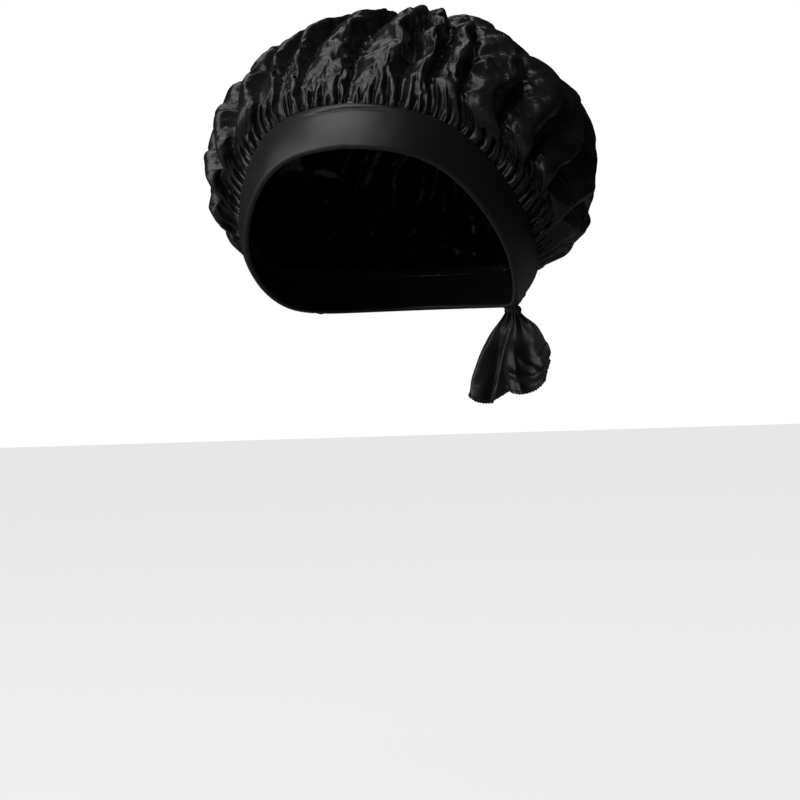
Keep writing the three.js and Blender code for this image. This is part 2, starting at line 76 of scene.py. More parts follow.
class HeadSizes(bpy.types.PropertyGroup):
    """The head form and the line that the cap's lower edge follows round it, as in the frame"""

    half_width: length_prop("Half width", "Half the breadth of the head", 77 * MM)
    half_depth: length_prop("Half depth", "Half the head from brow to back", 97 * MM)
    widest_level: length_prop("Widest level", "Height of the widest level", 13 * MM)
    height_above: length_prop("Height above", "From the widest level to the top", 112 * MM)
    height_below: length_prop("Height below", "How fast the head narrows below", 67 * MM)
    brow_height: length_prop("Brow height", "Lower edge at the brow", 53 * MM)
    nape_height: length_prop("Nape height", "Lower edge at the nape", -33 * MM)
    temple_turn: turn_prop("Temple turn", "Where the lower edge falls fastest", 58)
    temple_blend: turn_prop("Temple blend", "How wide the fall is", 12.5)


class BandSizes(bpy.types.PropertyGroup):
    """Front band and nape casing"""

    width: length_prop("Width", "Width of the folded band", 25 * MM)
    film: length_prop("Film", "Thickness of the film that shows", 0.35 * MM)
    inner_out: length_prop("Inner leaf", "Inner leaf's place out from the head", 0.5 * MM)
    outer_out: length_prop("Outer leaf", "Outer leaf's place out from the head", 2.9 * MM)
    padding: length_prop("Padding", "How far the padded front swells", 1.1 * MM)
    seam_turn: turn_prop("Seam turn", "Where the band ends at the side seams", 112)


class StrapSizes(bpy.types.PropertyGroup):
    """Tie straps and the knot that they end in"""

    width_at_seam: length_prop("Width at seam", "Where the straps start", 24 * MM)
    width_at_nape: length_prop("Width at nape", "Where they lie over the nape", 15 * MM)
    width_at_knot: length_prop("Width at knot", "Where they enter the knot", 8 * MM)
    thin: length_prop("Thin end", "Thickness at the side seams", 0.9 * MM)
    thick: length_prop("Thick end", "Thickness at the knot", 3.4 * MM)
    narrow_turn: turn_prop("Narrowing", "The turn in which the straps narrow", 22)
    pleats: number_prop("Pleats", "Folds along each strap", 4)
    knot_turn: turn_prop("Knot turn", "Where the knot sits", 143)
    knot_height: length_prop("Knot height", "The knot's height on the band", 14 * MM)
    knot_half_length: length_prop("Knot half length", "Half its length along the band", 7 * MM)
    knot_half_height: length_prop("Knot half height", "Half its height", 4.8 * MM)
    knot_half_thickness: length_prop("Knot half thickness", "Half its thickness", 3.2 * MM)
    wrap_width: length_prop("Wrap width", "Width of the turn of cloth over the knot", 8 * MM)
    wrap_thickness: length_prop("Wrap thickness", "How proud that turn stands", 1.6 * MM)
    wrap_skew: length_prop("Wrap skew", "How far it leans along the knot", 2 * MM)


class TailSizes(bpy.types.PropertyGroup):
    """The tails under the knot and the thread along their ends"""

    axis_yaw: turn_prop("Axis yaw", "Turn of the tails' axis from the knot's own line", 28)
    root_radius: length_prop("Root radius", "Half the thickness at the root", 1.5 * MM)
    root_half_width: length_prop("Root half width", "Half the width at the root", 3.7 * MM)
    spacing: length_prop("Spacing", "Between the two roots", 7 * MM)
    fold_depth: length_prop("Fold depth", "Depth of the wide folds", 3.4 * MM)
    film: length_prop("Film", "Thickness of the tails' film", 0.4 * MM)
    thread: length_prop("Thread", "Radius of the overlocking thread", 0.26 * MM)
    stitch: length_prop("Stitch", "Length of an overlocking stitch", 1.7 * MM)


class Looks(bpy.types.PropertyGroup):
    """Colours of the cloth and thread"""

    film: colour_prop("Crown film", "Glossy coated film of the crown", (0.010, 0.010, 0.011))
    band: colour_prop("Band film", "Smooth film of the band, ties and tails", (0.011, 0.011, 0.012))
    thread: colour_prop("Thread", "Overlocking and stitches", (0.025, 0.025, 0.026))
    felt: colour_prop("Felt", "Stiffener in the band", (0.03, 0.03, 0.031))
    elastic: colour_prop("Elastic", "Elastic in the nape", (0.022, 0.022, 0.023))


class CrownSizes(bpy.types.PropertyGroup):
    """The puffed crown and its gathers"""

    puff_sides: length_prop("Puff at sides", "How far the puff stands off the head", 25 * MM)
    puff_ends: length_prop("Puff at ends", "The same, front and back", 13 * MM)
    centre_back: length_prop("Centre back", "How far back the puff's centre lies", 17 * MM)
    centre_height: length_prop("Centre height", "Height of the puff's widest level", 35 * MM)
    height_above: length_prop("Height above", "From the widest level to the top", 93 * MM)
    height_below: length_prop("Height below", "How the puff rounds under", 66 * MM)
    fullness: number_prop("Fullness", "Exponent of the puff's outline", 2.3)
    flat_radius: length_prop("Flat radius", "Radius of the disc that the crown is cut from", 185 * MM)
    pole_lean: turn_prop("Centre's lean", "How far back the centre of the cloth lies", 42)
    leave: number_prop("Leave", "Share of the climb in which the cloth leaves the seam", 0.16)
    bulge: number_prop("Bulge", "How much the cloth leans out where it leaves the seam", 0.6)
    swell: length_prop("Swell", "How far the puff is pushed out over the left ear", 5 * MM)
    settle: length_prop("Settle", "Room left for the film to swell into", 2.5 * MM)
    crease_height: length_prop("Crease height", "Height of the creases that cross the folds", 2.5 * MM)
    lobes: number_prop("Lobes", "Wide folds round the crown", 26)
    lobe_height: length_prop("Lobe height", "Height of the main folds", 14 * MM)
    lobe_peak: length_prop("Lobe peak", "How far from the seam they are highest", 60 * MM)
    lobe_end: length_prop("Lobe end", "How far from the seam they end", 160 * MM)
    swath_height: length_prop("Swath height", "Height of the folds that pairs of lobes run into", 6 * MM)
    swath_start: length_prop("Swath start", "How far from the seam they start", 60 * MM)
    swath_peak: length_prop("Swath peak", "How far from the seam they are highest", 130 * MM)
    valley_depth: length_prop("Valley depth", "How far the creases between folds are drawn in", 2.2 * MM)
    pucker_height: length_prop("Pucker height", "Height of the small folds at the seam", 1.6 * MM)
    cell: length_prop("Cell", "Size of the cloth's cells", 3 * MM)


# Places on the head form, for whole rows of points at once


def edge_height(turn):
    """How high the cap's lower edge runs: level at the brow, falling past the temples, level at the nape"""
    head = bpy.context.scene.cap_head
    away = np.abs(np.arctan2(np.sin(turn), np.cos(turn)))
    share = 1 / (1 + np.exp((away - head.temple_turn) / head.temple_blend))
    share = share * (1 + math.exp(-head.temple_turn / head.temple_blend))
    return head.nape_height + (head.brow_height - head.nape_height) * share


def head_reach(height):
    """Half the head's height on the side of its widest level where a height lies"""
    head = bpy.context.scene.cap_head
    return np.where(height > head.widest_level, head.height_above, head.height_below)


def head_points(turn, height):
    """Points of the head at turns round it, 0 at the brow, and at heights"""
    head = bpy.context.scene.cap_head
    rise = (height - head.widest_level) / head_reach(height)
    narrow = np.sqrt(np.maximum(1 - rise**2, 0))
    x = head.half_width * narrow * np.sin(turn)
    y = -head.half_depth * narrow * np.cos(turn)
    return np.stack([x, y, height * np.ones_like(x)], -1)


def unit(vectors):
    return vectors / np.maximum(np.linalg.norm(vectors, axis=-1, keepdims=True), 1e-12)


def head_normals(points):
    head = bpy.context.scene.cap_head
    reach = head_reach(points[..., 2])
    x = points[..., 0] / head.half_width**2
    y = points[..., 1] / head.half_depth**2
    z = (points[..., 2] - head.widest_level) / reach**2
    return unit(np.stack([x, y, z], -1))


def band_points(turn, across, out):
    """Points at a turn round the head, across the band from its lower edge, and out from the head."""
    head = bpy.context.scene.cap_head
    turn, across, out = np.broadcast_arrays(*(np.asarray(a, float) for a in (turn, across, out)))
    step = math.radians(0.5)
    before = head_points(turn - step, edge_height(turn - step))
    after = head_points(turn + step, edge_height(turn + step))
    place = head_points(turn, edge_height(turn))
    up = unit(np.cross(head_normals(place), after - before))
    up = np.where(up[..., 2:] < 0, -up, up)
    flat = place + up * across[..., None]
    flat[..., 2] -= head.widest_level
    reach = head_reach(flat[..., 2] + head.widest_level)
    same = np.ones_like(reach)
    sizes = np.stack([same * head.half_width, same * head.half_depth, reach], -1)
    on_head = flat / np.linalg.norm(flat / sizes, axis=-1, keepdims=True)
    on_head[..., 2] += head.widest_level
    return on_head + head_normals(on_head) * out[..., None]


def lifted(points, rise):
    """Points moved out from the head, each by its rise"""
    return points + head_normals(points) * rise[:, None]


def smoothstep(x, low, high):
    """0 below a low value, 1 above a high one, with an even climb between"""
    share = np.clip((x - low) / (high - low), 0, 1)
    return share * share * (3 - 2 * share)


# The crown's smooth form, which the folds stand on


def puff_points(turn, climb):
    """Points of the puff at turns round it, and at angles above its widest level"""
    crown = bpy.context.scene.cap_crown
    head = bpy.context.scene.cap_head
    out = np.abs(np.cos(climb)) ** (2 / crown.fullness)
    up = np.sign(climb) * np.abs(np.sin(climb)) ** (2 / crown.fullness)
    x = (head.half_width + crown.puff_sides) * out * np.sin(turn)
    y = crown.centre_back - (head.half_depth + crown.puff_ends) * out * np.cos(turn)
    z = crown.centre_height + np.where(climb > 0, crown.height_above, crown.height_below) * up
    return np.stack([x, y, z], -1)


# Where the puff is pushed out or in: direction from its centre, spread, and share of the swell
SWELLS = (
    ((0.72, 0.15, 0.67), 0.24, -1.3),
    ((0.88, 0.25, 0.4), 0.2, 0.6),
    ((-0.95, 0.05, 0.3), 0.16, 0.8),
    ((-0.7, -0.12, 0.7), 0.34, -0.9),
    ((-0.95, -0.1, -0.3), 0.25, -0.7),
)


def on_puff(directions):
    """Where lines from the crown's centre meet its smooth form"""
    crown = bpy.context.scene.cap_crown
    head = bpy.context.scene.cap_head
    x = directions[..., 0] / (head.half_width + crown.puff_sides)
    y = directions[..., 1] / (head.half_depth + crown.puff_ends)
    reach = np.where(directions[..., 2] > 0, crown.height_above, crown.height_below)
    power = crown.fullness
    size = np.hypot(x, y) ** power + np.abs(directions[..., 2] / reach) ** power
    centre = np.array([0, crown.centre_back, crown.centre_height])
    reach = size ** (-1 / power)
    for direction, spread, share in SWELLS:
        apart = np.arccos(np.clip(directions @ unit(np.array(direction)), -1, 1))
        reach = reach + crown.swell * share * np.exp(-((apart / spread) ** 2))
    return centre + directions * reach[..., None]


def distances(line):
    """How far along a line each of its points lies"""
    return np.concatenate([[0], np.cumsum(np.linalg.norm(np.diff(line, axis=0), axis=1))])


def read_off(places, far, line):
    """Points or vectors at some places, read off a row of them"""
    return np.stack([np.interp(places, far, line[:, k]) for k in range(3)], -1)


def spread_evenly(line, count):
    """The same line with its points at even distances"""
    far = distances(line)
    return read_off(np.linspace(0, far[-1], count), far, line)


class CrownForm:
    """A table of the smooth crown: rows go round the seam, columns climb from it to the cloth's centre."""

    ROUND = 720
    CLIMB = 200
    FINE_CLIMB = 160
    FINE_CURVE = 40
    HANDLE = 0.4

    def __init__(self):
        crown = bpy.context.scene.cap_crown
        head = bpy.context.scene.cap_head
        band = bpy.context.scene.cap_band
        across = band.width + SEAM_LIFT
        fine = np.linspace(0, WHOLE_TURN, 4 * self.ROUND + 1)
        along = distances(band_points(fine, across, band.outer_out))
        self.turns = np.interp(np.arange(self.ROUND) / self.ROUND, along / along[-1], fine)
        seam = band_points(self.turns, across, band.outer_out)
        out = unit(seam - band_points(self.turns, across, 0))
        up = unit(band_points(self.turns, across + 1 * MM, 0) - band_points(self.turns, across, 0))
        brow_share = (edge_height(self.turns) - head.nape_height) / (head.brow_height - head.nape_height)
        sag = 5 * MM - 12 * MM * brow_share
        low = seam[:, 2] - sag - crown.centre_height
        reach = np.where(low > 0, crown.height_above, crown.height_below)
        start = np.sign(low) * np.arcsin(np.minimum(np.abs(low / reach), 1) ** (crown.fullness / 2))
        first = start + crown.leave * (math.pi / 2 - start)
        centre = np.array([0, crown.centre_back, crown.centre_height])
        before = unit(puff_points(self.turns, first) - centre)
        pole = unit(np.array([0, math.sin(crown.pole_lean), math.cos(crown.pole_lean)]))
        angle = np.arccos(before @ pole)[:, None, None]
        climb = np.linspace(0, 1, self.FINE_CLIMB)[None, :, None]
        turned = np.sin((1 - climb) * angle) * before[:, None] + np.sin(climb * angle) * pole
        upper = on_puff(turned / np.sin(angle))
        joined = upper[:, 0]
        tangent = unit(upper[:, 1] - joined)
        leave = unit(out * crown.bulge + up)
        gap = np.linalg.norm(joined - seam, axis=1, keepdims=True)
        p1, p2 = seam + leave * gap * self.HANDLE, joined - tangent * gap * self.HANDLE
        t = np.linspace(0, 1, self.FINE_CURVE)[None, :-1, None]
        curve = ((1 - t) ** 3 * seam[:, None] + 3 * t * (1 - t) ** 2 * p1[:, None]
                 + 3 * t**2 * (1 - t) * p2[:, None] + t**3 * joined[:, None])
        lines = np.concatenate([curve, upper], 1)
        self.lengths = np.linalg.norm(np.diff(lines, axis=1), axis=2).sum(1)
        self.table = np.stack([spread_evenly(line, self.CLIMB) for line in lines])
        around = np.roll(self.table, -1, 0) - np.roll(self.table, 1, 0)
        upward = np.gradient(self.table, axis=1)
        self.normals = unit(np.cross(around, upward))
        self.normals[:, -1] = unit(on_puff(pole) - centre)

    def look_up(self, table, share, climb):
        """Values between the rows and columns of a table"""
        row = (share % 1) * self.ROUND
        column = np.clip(climb, 0, 1) * (self.CLIMB - 1)
        r0, c0 = np.floor(row).astype(int), np.minimum(np.floor(column).astype(int), self.CLIMB - 2)
        fr, fc = (row - r0)[:, None], (column - c0)[:, None]
        r0, r1 = r0 % self.ROUND, (r0 + 1) % self.ROUND
        low = table[r0, c0] * (1 - fc) + table[r0, c0 + 1] * fc
        high = table[r1, c0] * (1 - fc) + table[r1, c0 + 1] * fc
        return low * (1 - fr) + high * fr

    def place(self, share, climb):
        """Points and normals of the smooth crown"""
        return self.look_up(self.table, share, climb), unit(self.look_up(self.normals, share, climb))

    def length(self, share):
        """How long the cloth is from the seam to its centre"""
        return self.round_seam(share, np.append(self.lengths, self.lengths[0]))

    def turn(self, share):
        """The turn round the head at a share of the seam"""
        return self.round_seam(share, np.append(self.turns, WHOLE_TURN))

    def round_seam(self, share, row):
        return np.interp((share % 1) * self.ROUND, np.arange(self.ROUND + 1), row)


def only(kind, geometry):
    return [g for g in geometry if isinstance(g, kind)]


def rim(edges):
    """Those at the mesh's open edge"""
    return [e for e in edges if e.is_boundary]


def in_order(mesh):
    """A mesh with the same faces, its parts in an order that stays the same from run to run"""
    verts = sorted(mesh.verts, key=lambda v: (round(v.co.x / MM, 3), round(v.co.y / MM, 3)))
    index = {v: i for i, v in enumerate(verts)}
    faces = []
    for face in mesh.faces:
        corners = [index[v] for v in face.verts]
        first = corners.index(min(corners))
        faces.append(corners[first:] + corners[:first])
    ordered = bmesh.new()
    made = [ordered.verts.new(v.co) for v in verts]
    for corners in sorted(faces):
        ordered.faces.new([made[i] for i in corners])
    mesh.free()
    return ordered


def flat_disc(radius, cell):
    """A disc with even cells, grown ring by ring from a small circle"""
    mesh = bmesh.new()
    count = 48
    too_wide = 1.42  # Of a cell: the ring is then cut finer
    reach = count * cell / 2 / math.pi
    bmesh.ops.create_circle(mesh, cap_ends=True, cap_tris=True, segments=count, radius=reach)
    edges = rim(mesh.edges)
    while reach < radius - 1e-6:
        if WHOLE_TURN * reach / count > too_wide * cell:
            bmesh.ops.subdivide_edges(mesh, edges=edges, cuts=1)
            edges = rim(mesh.edges)
            count *= 2
        reach = reach + cell if radius - reach > 1.4 * cell else radius
        grown = bmesh.ops.extrude_edge_only(mesh, edges=edges)["geom"]
        for v in only(bmesh.types.BMVert, grown):
            v.co *= reach / v.co.length
        edges = rim(only(bmesh.types.BMEdge, grown))
    bmesh.ops.triangulate(mesh, faces=[f for f in mesh.faces if len(f.verts) > 4])
    return in_order(mesh)


def uneven(rng, count, value, spread):
    """Values that stray from one value by up to a share of it"""
    return np.array([value * (1 + spread * (2 * rng.random() - 1)) for _ in range(count)])


def uneven_splits(rng, parts, spread):
    """Places from 0 to 1 that cut it into parts of uneven width"""
    widths = uneven(rng, parts, 1, spread)
    return np.concatenate([[0], np.cumsum(widths) / widths.sum()])


class Folds:
    """One level of folds, with its valleys' places round the seam and each fold's height and end

    They start and peak at distances from the seam. Their roundness is 1 where a section is a sine and less
    where it is blunter, and a lean over 1 brings their ridges nearer to the next valley.
    """

    MEAN = 0.62  # Of a ridge's height: it stands that far in at the valleys

    def __init__(self, valleys, tall, ends, start, peak, roundness, lean=1):
        self.valleys, self.tall, self.ends = (np.asarray(row, float) for row in (valleys, tall, ends))
        self.start, self.peak, self.roundness, self.lean = start, peak, roundness, lean

    def across(self, share):
        """Which fold a place lies on, and its share of the way over it"""
        share = share % 1
        k = np.searchsorted(self.valleys, share, side="right") - 1
        low = self.valleys[k]
        high = np.append(self.valleys[1:], self.valleys[0] + 1)[k]
        return k, np.clip((share - low) / (high - low), 0, 1)

    def height(self, share, far):
        """How far the cloth stands out or in: the ridges stand out less than the valleys lie in."""
        k, t = self.across(share)
        ridge = np.sin(math.pi * t**self.lean) ** self.roundness - self.MEAN
        beside = (k + np.where(t < 0.5, -1, 1)) % len(self.valleys)
        mix = np.abs(t - 0.5)
        end = self.ends[k] * (1 - mix) + self.ends[beside] * mix
        rise = smoothstep(far, self.start, self.peak)
        fall = 1 - smoothstep(far, self.peak, end)
        return self.tall[k] * ridge * rise * fall

    def valley(self, share, far):
        """1 along the valleys, 0 on the folds and beyond their ends"""
        k, t = self.across(share)
        return (1 - np.sin(math.pi * t)) ** 3 * (1 - smoothstep(far, self.peak, self.ends[k]))


def lobe_edges(count):
    """The valleys between the wide lobes, unevenly apart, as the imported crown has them"""
    i = np.arange(count + 1)
    return (i + 0.22 * np.sin(WHOLE_TURN * 7 * i / count)) / count


def swaying(count, waves, share):
    """Values that sway by a share, a number of times in all"""
    return share * np.cos(WHOLE_TURN * waves * np.arange(count) / count)


def crown_folds(rng):
    """Swaths near the centre, the lobes that run into them, the gathers below, and puckers at the seam"""
    crown = bpy.context.scene.cap_crown
    edges = lobe_edges(crown.lobes)
    each = np.arange(crown.lobes)
    lobe_tall = crown.lobe_height * (0.8 + swaying(crown.lobes, 5, 0.2))
    lobe_ends = crown.lobe_end * (1 + 0.2 * np.sin(WHOLE_TURN * 9 * each / crown.lobes))
    gathers, puckers = [], []
    for a, b in zip(edges[:-1], edges[1:], strict=True):
        parts = 3 if (b - a) * crown.lobes < 1 else 4
        cuts = a + (b - a) * uneven_splits(rng, parts, 0.35)
        gathers += list(cuts[:-1])
        for c, d in zip(cuts[:-1], cuts[1:], strict=True):
            parts = 1 if rng.random() < 0.35 else 2
            puckers += list((c + (d - c) * uneven_splits(rng, parts, 0.25))[:-1])
    few, many = len(gathers), len(puckers)
    half = crown.lobes // 2
    swath_tall = crown.swath_height * (0.8 + swaying(half, 3, 0.2))
    swath_ends = crown.flat_radius * uneven(rng, half, 0.88, 0.1)
    gather_tall = uneven(rng, few, 2.4 * MM, 0.5)
    gather_ends = uneven(rng, few, 20 * MM, 0.6)
    pucker_tall = uneven(rng, many, crown.pucker_height, 0.5)
    pucker_ends = uneven(rng, many, 7.5 * MM, 0.5)
    return (
        Folds(edges[:-1:2], swath_tall, swath_ends, crown.swath_start, crown.swath_peak, 0.7, 1.5),
        Folds(edges[:-1], lobe_tall, lobe_ends, -10 * MM, crown.lobe_peak, 0.7, 1.8),
        Folds(gathers, gather_tall, gather_ends, -6 * MM, 7 * MM, 0.75, 1.4),
        Folds(puckers, pucker_tall, pucker_ends, -8 * MM, 2 * MM, 0.9, 1.2),
    )


def wavy(points, size, seed):
    """Smooth noise from -1 to 1 at each point"""
    shift = Vector((seed * 17.3, seed * 5.1, seed * 11.7))
    return np.array([noise.noise(Vector(p) / size + shift) for p in points])


def drifted(share, climb, far, base):
    """Folds fan out from the brow and wander sideways as they climb, most of all near the centre"""
    fan = np.sin(WHOLE_TURN * share) * smoothstep(far, 5 * MM, 80 * MM) * 0.025
    stray = smoothstep(far, 6 * MM, 60 * MM) * 0.011 + smoothstep(climb, 0.55, 0.9) * 0.05
    fine = wavy(base, 17 * MM, 4) * smoothstep(far, 3 * MM, 22 * MM) * 0.004
    return share - fan + wavy(base, 50 * MM, 3) * stray + fine


def layer_values(verts, layer):
    return np.array([tuple(v[layer]) for v in verts])


def mesh_points(mesh):
    mesh.verts.ensure_lookup_table()
    return np.array([tuple(v.co) for v in mesh.verts])


def move_points(verts, points):
    for v, p in zip(verts, points, strict=True):
        v.co = p


def facing_out(mesh):
    bmesh.ops.recalc_face_normals(mesh, faces=mesh.faces)
    return mesh


def welded(mesh):
    bmesh.ops.remove_doubles(mesh, verts=mesh.verts, dist=0.001 * MM)


def pulled_ball(around, levels, turned, place):
    """A ball, each point laid where place says"""
    mesh = bmesh.new()
    bmesh.ops.create_uvsphere(mesh, u_segments=around, v_segments=levels, radius=1, matrix=turned)
    move_points(mesh.verts, place(mesh_points(mesh)))
    return facing_out(mesh)


def gridded(mesh, columns, rows, cut, place):
    """Adds a grid to a bmesh, each point laid where place says for its two shares, and its weave in UVs"""
    verts = bmesh.ops.create_grid(mesh, x_segments=columns, y_segments=rows, size=0.5)["verts"]
    shares = np.array([(v.co.x + 0.5, v.co.y + 0.5) for v in verts])
    grain = mesh.loops.layers.uv.verify()
    laid = place(shares[:, 0], shares[:, 1])
    for v, share, point in zip(verts, shares * cut, laid, strict=True):
        for loop in v.link_loops:
            loop[grain].uv = share
        v.co = point


def sheet_grid(columns, rows, cut, place, closed=False):
    """A sheet cut to a length and a width. A closed one meets itself."""
    mesh = bmesh.new()
    gridded(mesh, columns, rows, cut, place)
    if closed:
        welded(mesh)
    return facing_out(mesh)


def thread(mesh, points, radius, outward, closed=False):
    """Adds a round thread along a row of points"""
    sides = 5
    if closed:
        points, outward = (np.concatenate([row, row[:1]]) for row in (points, outward))
    ahead = np.gradient(points, axis=0)
    if closed:
        ahead[0] = ahead[-1] = points[1] - points[-2]
    side = unit(np.cross(unit(ahead), outward))
    over = np.cross(side, unit(ahead))

    def place(along, round_share):
        i = np.rint(along * (len(points) - 1)).astype(int)
        angle = WHOLE_TURN * round_share[:, None]
        return points[i] + radius * (np.cos(angle) * side[i] + np.sin(angle) * over[i])

    gridded(mesh, len(points) - 1, sides, (distances(points)[-1], WHOLE_TURN * radius), place)


def closed_threads(mesh):
    """Joins the sides of the threads in a mesh and closes their ends"""
    welded(mesh)
    bmesh.ops.holes_fill(mesh, edges=mesh.edges, sides=8)
    return facing_out(mesh)


def overlocking(edge, inward, outward, width, thickness, closed=False):
    """Thread that zigzags on both faces of an edge by turns, and the row of needle stitches beside it"""
    tail = bpy.context.scene.cap_tails
    per_stitch = 12
    lengths = distances(edge)
    pairs = max(int(round(lengths[-1] / tail.stitch / 2)), 1)
    count = pairs * 2 * per_stitch + (0 if closed else 1)
    places = np.linspace(0, lengths[-1], count, endpoint=not closed)
    on_edge, into, out = (read_off(places, lengths, row) for row in (edge, inward, outward))
    into, out = unit(into), unit(out)
    phase = np.arange(count) / per_stitch * 2 * math.pi
    over = thickness / 2 + tail.thread
    mesh = bmesh.new()
    winding = on_edge + into * (width * (0.42 - 0.5 * np.cos(phase)))[:, None]
    face = np.clip(3 * np.sin(phase / 2), -1, 1)
    winding += out * (1.2 * over * face)[:, None]
    thread(mesh, winding, tail.thread, out, closed)
    dip = np.clip(np.cos(phase) * 4 + 3, -1, 1)
    needle_row = on_edge + into * width * 0.8 + out * (over * dip)[:, None]
    thread(mesh, needle_row, tail.thread, out, closed)
    return closed_threads(mesh)


def placed(name, data):
    """A new object in the scene"""
    thing = bpy.data.objects.new(name, data)
    bpy.context.scene.collection.objects.link(thing)
    return thing


def finished(mesh, name, material, body, nodes=(), film=0):
    """A bmesh as an object at the origin that rides on a body and stands for nodes of the frame

    It wears the material that a function of the same name makes, or made before.
    """
    data = bpy.data.meshes.new(name)
    mesh.to_mesh(data)
    mesh.free()
    data.polygons.foreach_set("use_smooth", [True] * len(data.polygons))
    piece = placed(name, data)
    data.materials.append(bpy.data.materials.get(material.__name__) or material())
    if film:
        wall = piece.modifiers.new("Film", "SOLIDIFY")
        wall.thickness, wall.offset, wall.use_even_offset = film, 0, False
    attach(piece, body)
    if nodes:
        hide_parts(*nodes)
    return piece


class Nodes:
    """Adds nodes to a tree. Their inputs, in order or by name, are linked to sockets or set to values."""

    def __init__(self, tree):
        self.tree = tree

    def feed(self, node, *first, **named):
        for key, value in (*enumerate(first), *named.items()):
            socket = node.inputs[key if isinstance(key, int) else key.replace("_", " ")]
            if isinstance(value, bpy.types.NodeSocket):
                self.tree.links.new(value, socket)
            elif value is not None:
                socket.default_value = value
        return node

    def add(self, kind, *first, **named):
        return self.feed(self.tree.nodes.new("ShaderNode" + kind), *first, **named)

    def sum(self, kind, operation, *first):
        """The result of a node that reckons"""
        node = self.add(kind)
        node.operation = operation
        return self.feed(node, *first).outputs[0]

    def noise(self, place, scale, detail, out="Fac", **named):
        return self.add("TexNoise", Vector=place, Scale=scale, Detail=detail, **named).outputs[out]

    def ranged(self, value, low, high):
        """A value from 0 to 1 spread over another range"""
        return self.add("MapRange", Value=value, To_Min=low, To_Max=high).outputs["Result"]

    def bump(self, height, strength, reach, under=None):
        """A normal with a height on it, up to a reach in millimetres, laid over another normal"""
        node = self.add("Bump", Strength=strength, Distance=reach * MM, Height=height, Normal=under)
        return node.outputs["Normal"]

    def waves(self, place, scale, direction="X", **named):
        node = self.add("TexWave", Vector=place, Scale=scale, **named)
        node.bands_direction = direction
        return node.outputs["Fac"]


def shaded(name, colour, roughness):
    """A new material, its shader, and what adds nodes to it"""
    material = bpy.data.materials.new(name)
    material.use_nodes = True
    nodes = Nodes(material.node_tree)
    shader = material.node_tree.nodes["Principled BSDF"]
    nodes.feed(shader, Base_Color=(*colour, 1), Roughness=roughness)
    return material, shader, nodes


# Each of the materials below has the name of the function that makes it


def creased_film():
    """Glossy film of the crown, with fine creases that run along its folds and across them"""
    material, shader, nodes = shaded("creased_film", bpy.context.scene.cap_looks.film, 0.3)
    place = nodes.add("TexCoord").outputs["Object"]
    grain = nodes.add("Attribute")
    grain.attribute_name = "grain"
    along = grain.outputs["Vector"]
    bend = nodes.noise(place, 45, 2, "Color")
    wander = nodes.sum("VectorMath", "MULTIPLY_ADD", bend, (0.01, 0.01, 0.01), along)
    out = nodes.add("SeparateXYZ", Vector=along).outputs["Z"]
    near_seam = nodes.add("MapRange", Value=out, From_Min=0.054, From_Max=0.07).outputs["Result"]
    normal = None
    for vector, scale, reach, strength in (
        (wander, 45, 4, 0.5),
        (wander, 110, 2.6, 0.5),
        (place, 75, 2.1, 0.5),
        (wander, 190, 0.8, near_seam),
        (place, 190, 0.95, 0.5),
    ):
        middle = nodes.sum("Math", "SUBTRACT", nodes.noise(vector, scale, 1), 0.5)
        normal = nodes.bump(nodes.sum("Math", "ABSOLUTE", middle), strength, reach, normal)
    normal = nodes.bump(nodes.noise(place, 1400, 2), 0.12, 0.05, normal)
    nodes.feed(shader, Normal=normal, Roughness=nodes.ranged(nodes.noise(place, 28, 5), 0.22, 0.36))
    return material


def smooth_film():
    """Film of the band, ties, knot and tails, which is pulled smooth"""
    material, shader, nodes = shaded("smooth_film", bpy.context.scene.cap_looks.band, 0.4)
    place = nodes.add("TexCoord").outputs["Object"]
    dented = nodes.bump(nodes.noise(place, 60, 3), 0.22, 0.6)
    normal = nodes.bump(nodes.noise(place, 1500, 2), 0.15, 0.05, dented)
    nodes.feed(shader, Normal=normal, Roughness=nodes.ranged(nodes.noise(place, 35, 4), 0.34, 0.46))
    return material


def sewing_thread():
    """Twisted thread"""
    material, shader, nodes = shaded("sewing_thread", bpy.context.scene.cap_looks.thread, 0.6)
    twist = nodes.waves(nodes.add("UVMap").outputs["UV"], 900, "DIAGONAL", Distortion=1)
    nodes.feed(shader, Normal=nodes.bump(twist, 0.6, 0.08), Roughness=nodes.ranged(twist, 0.5, 0.7))
    return material


def pressed_felt():
    """Fibres pressed flat"""
    material, shader, nodes = shaded("pressed_felt", bpy.context.scene.cap_looks.felt, 0.95)
    fibre = nodes.noise(nodes.add("TexCoord").outputs["Object"], 900, 6, Roughness=0.7)
    nodes.feed(shader, Normal=nodes.bump(fibre, 0.8, 0.2), Roughness=nodes.ranged(fibre, 0.85, 1))
    return material


def ribbed_elastic():
    """Woven elastic, ribbed along its length"""
    material, shader, nodes = shaded("ribbed_elastic", bpy.context.scene.cap_looks.elastic, 0.8)
    place = nodes.add("UVMap").outputs["UV"]
    picks = nodes.waves(place, 300)
    normal = nodes.bump(picks, 0.5, 0.1, nodes.bump(nodes.waves(place, 110, "Y"), 0.7, 0.2))
    nodes.feed(shader, Normal=normal, Roughness=nodes.ranged(picks, 0.7, 0.9))
    return material


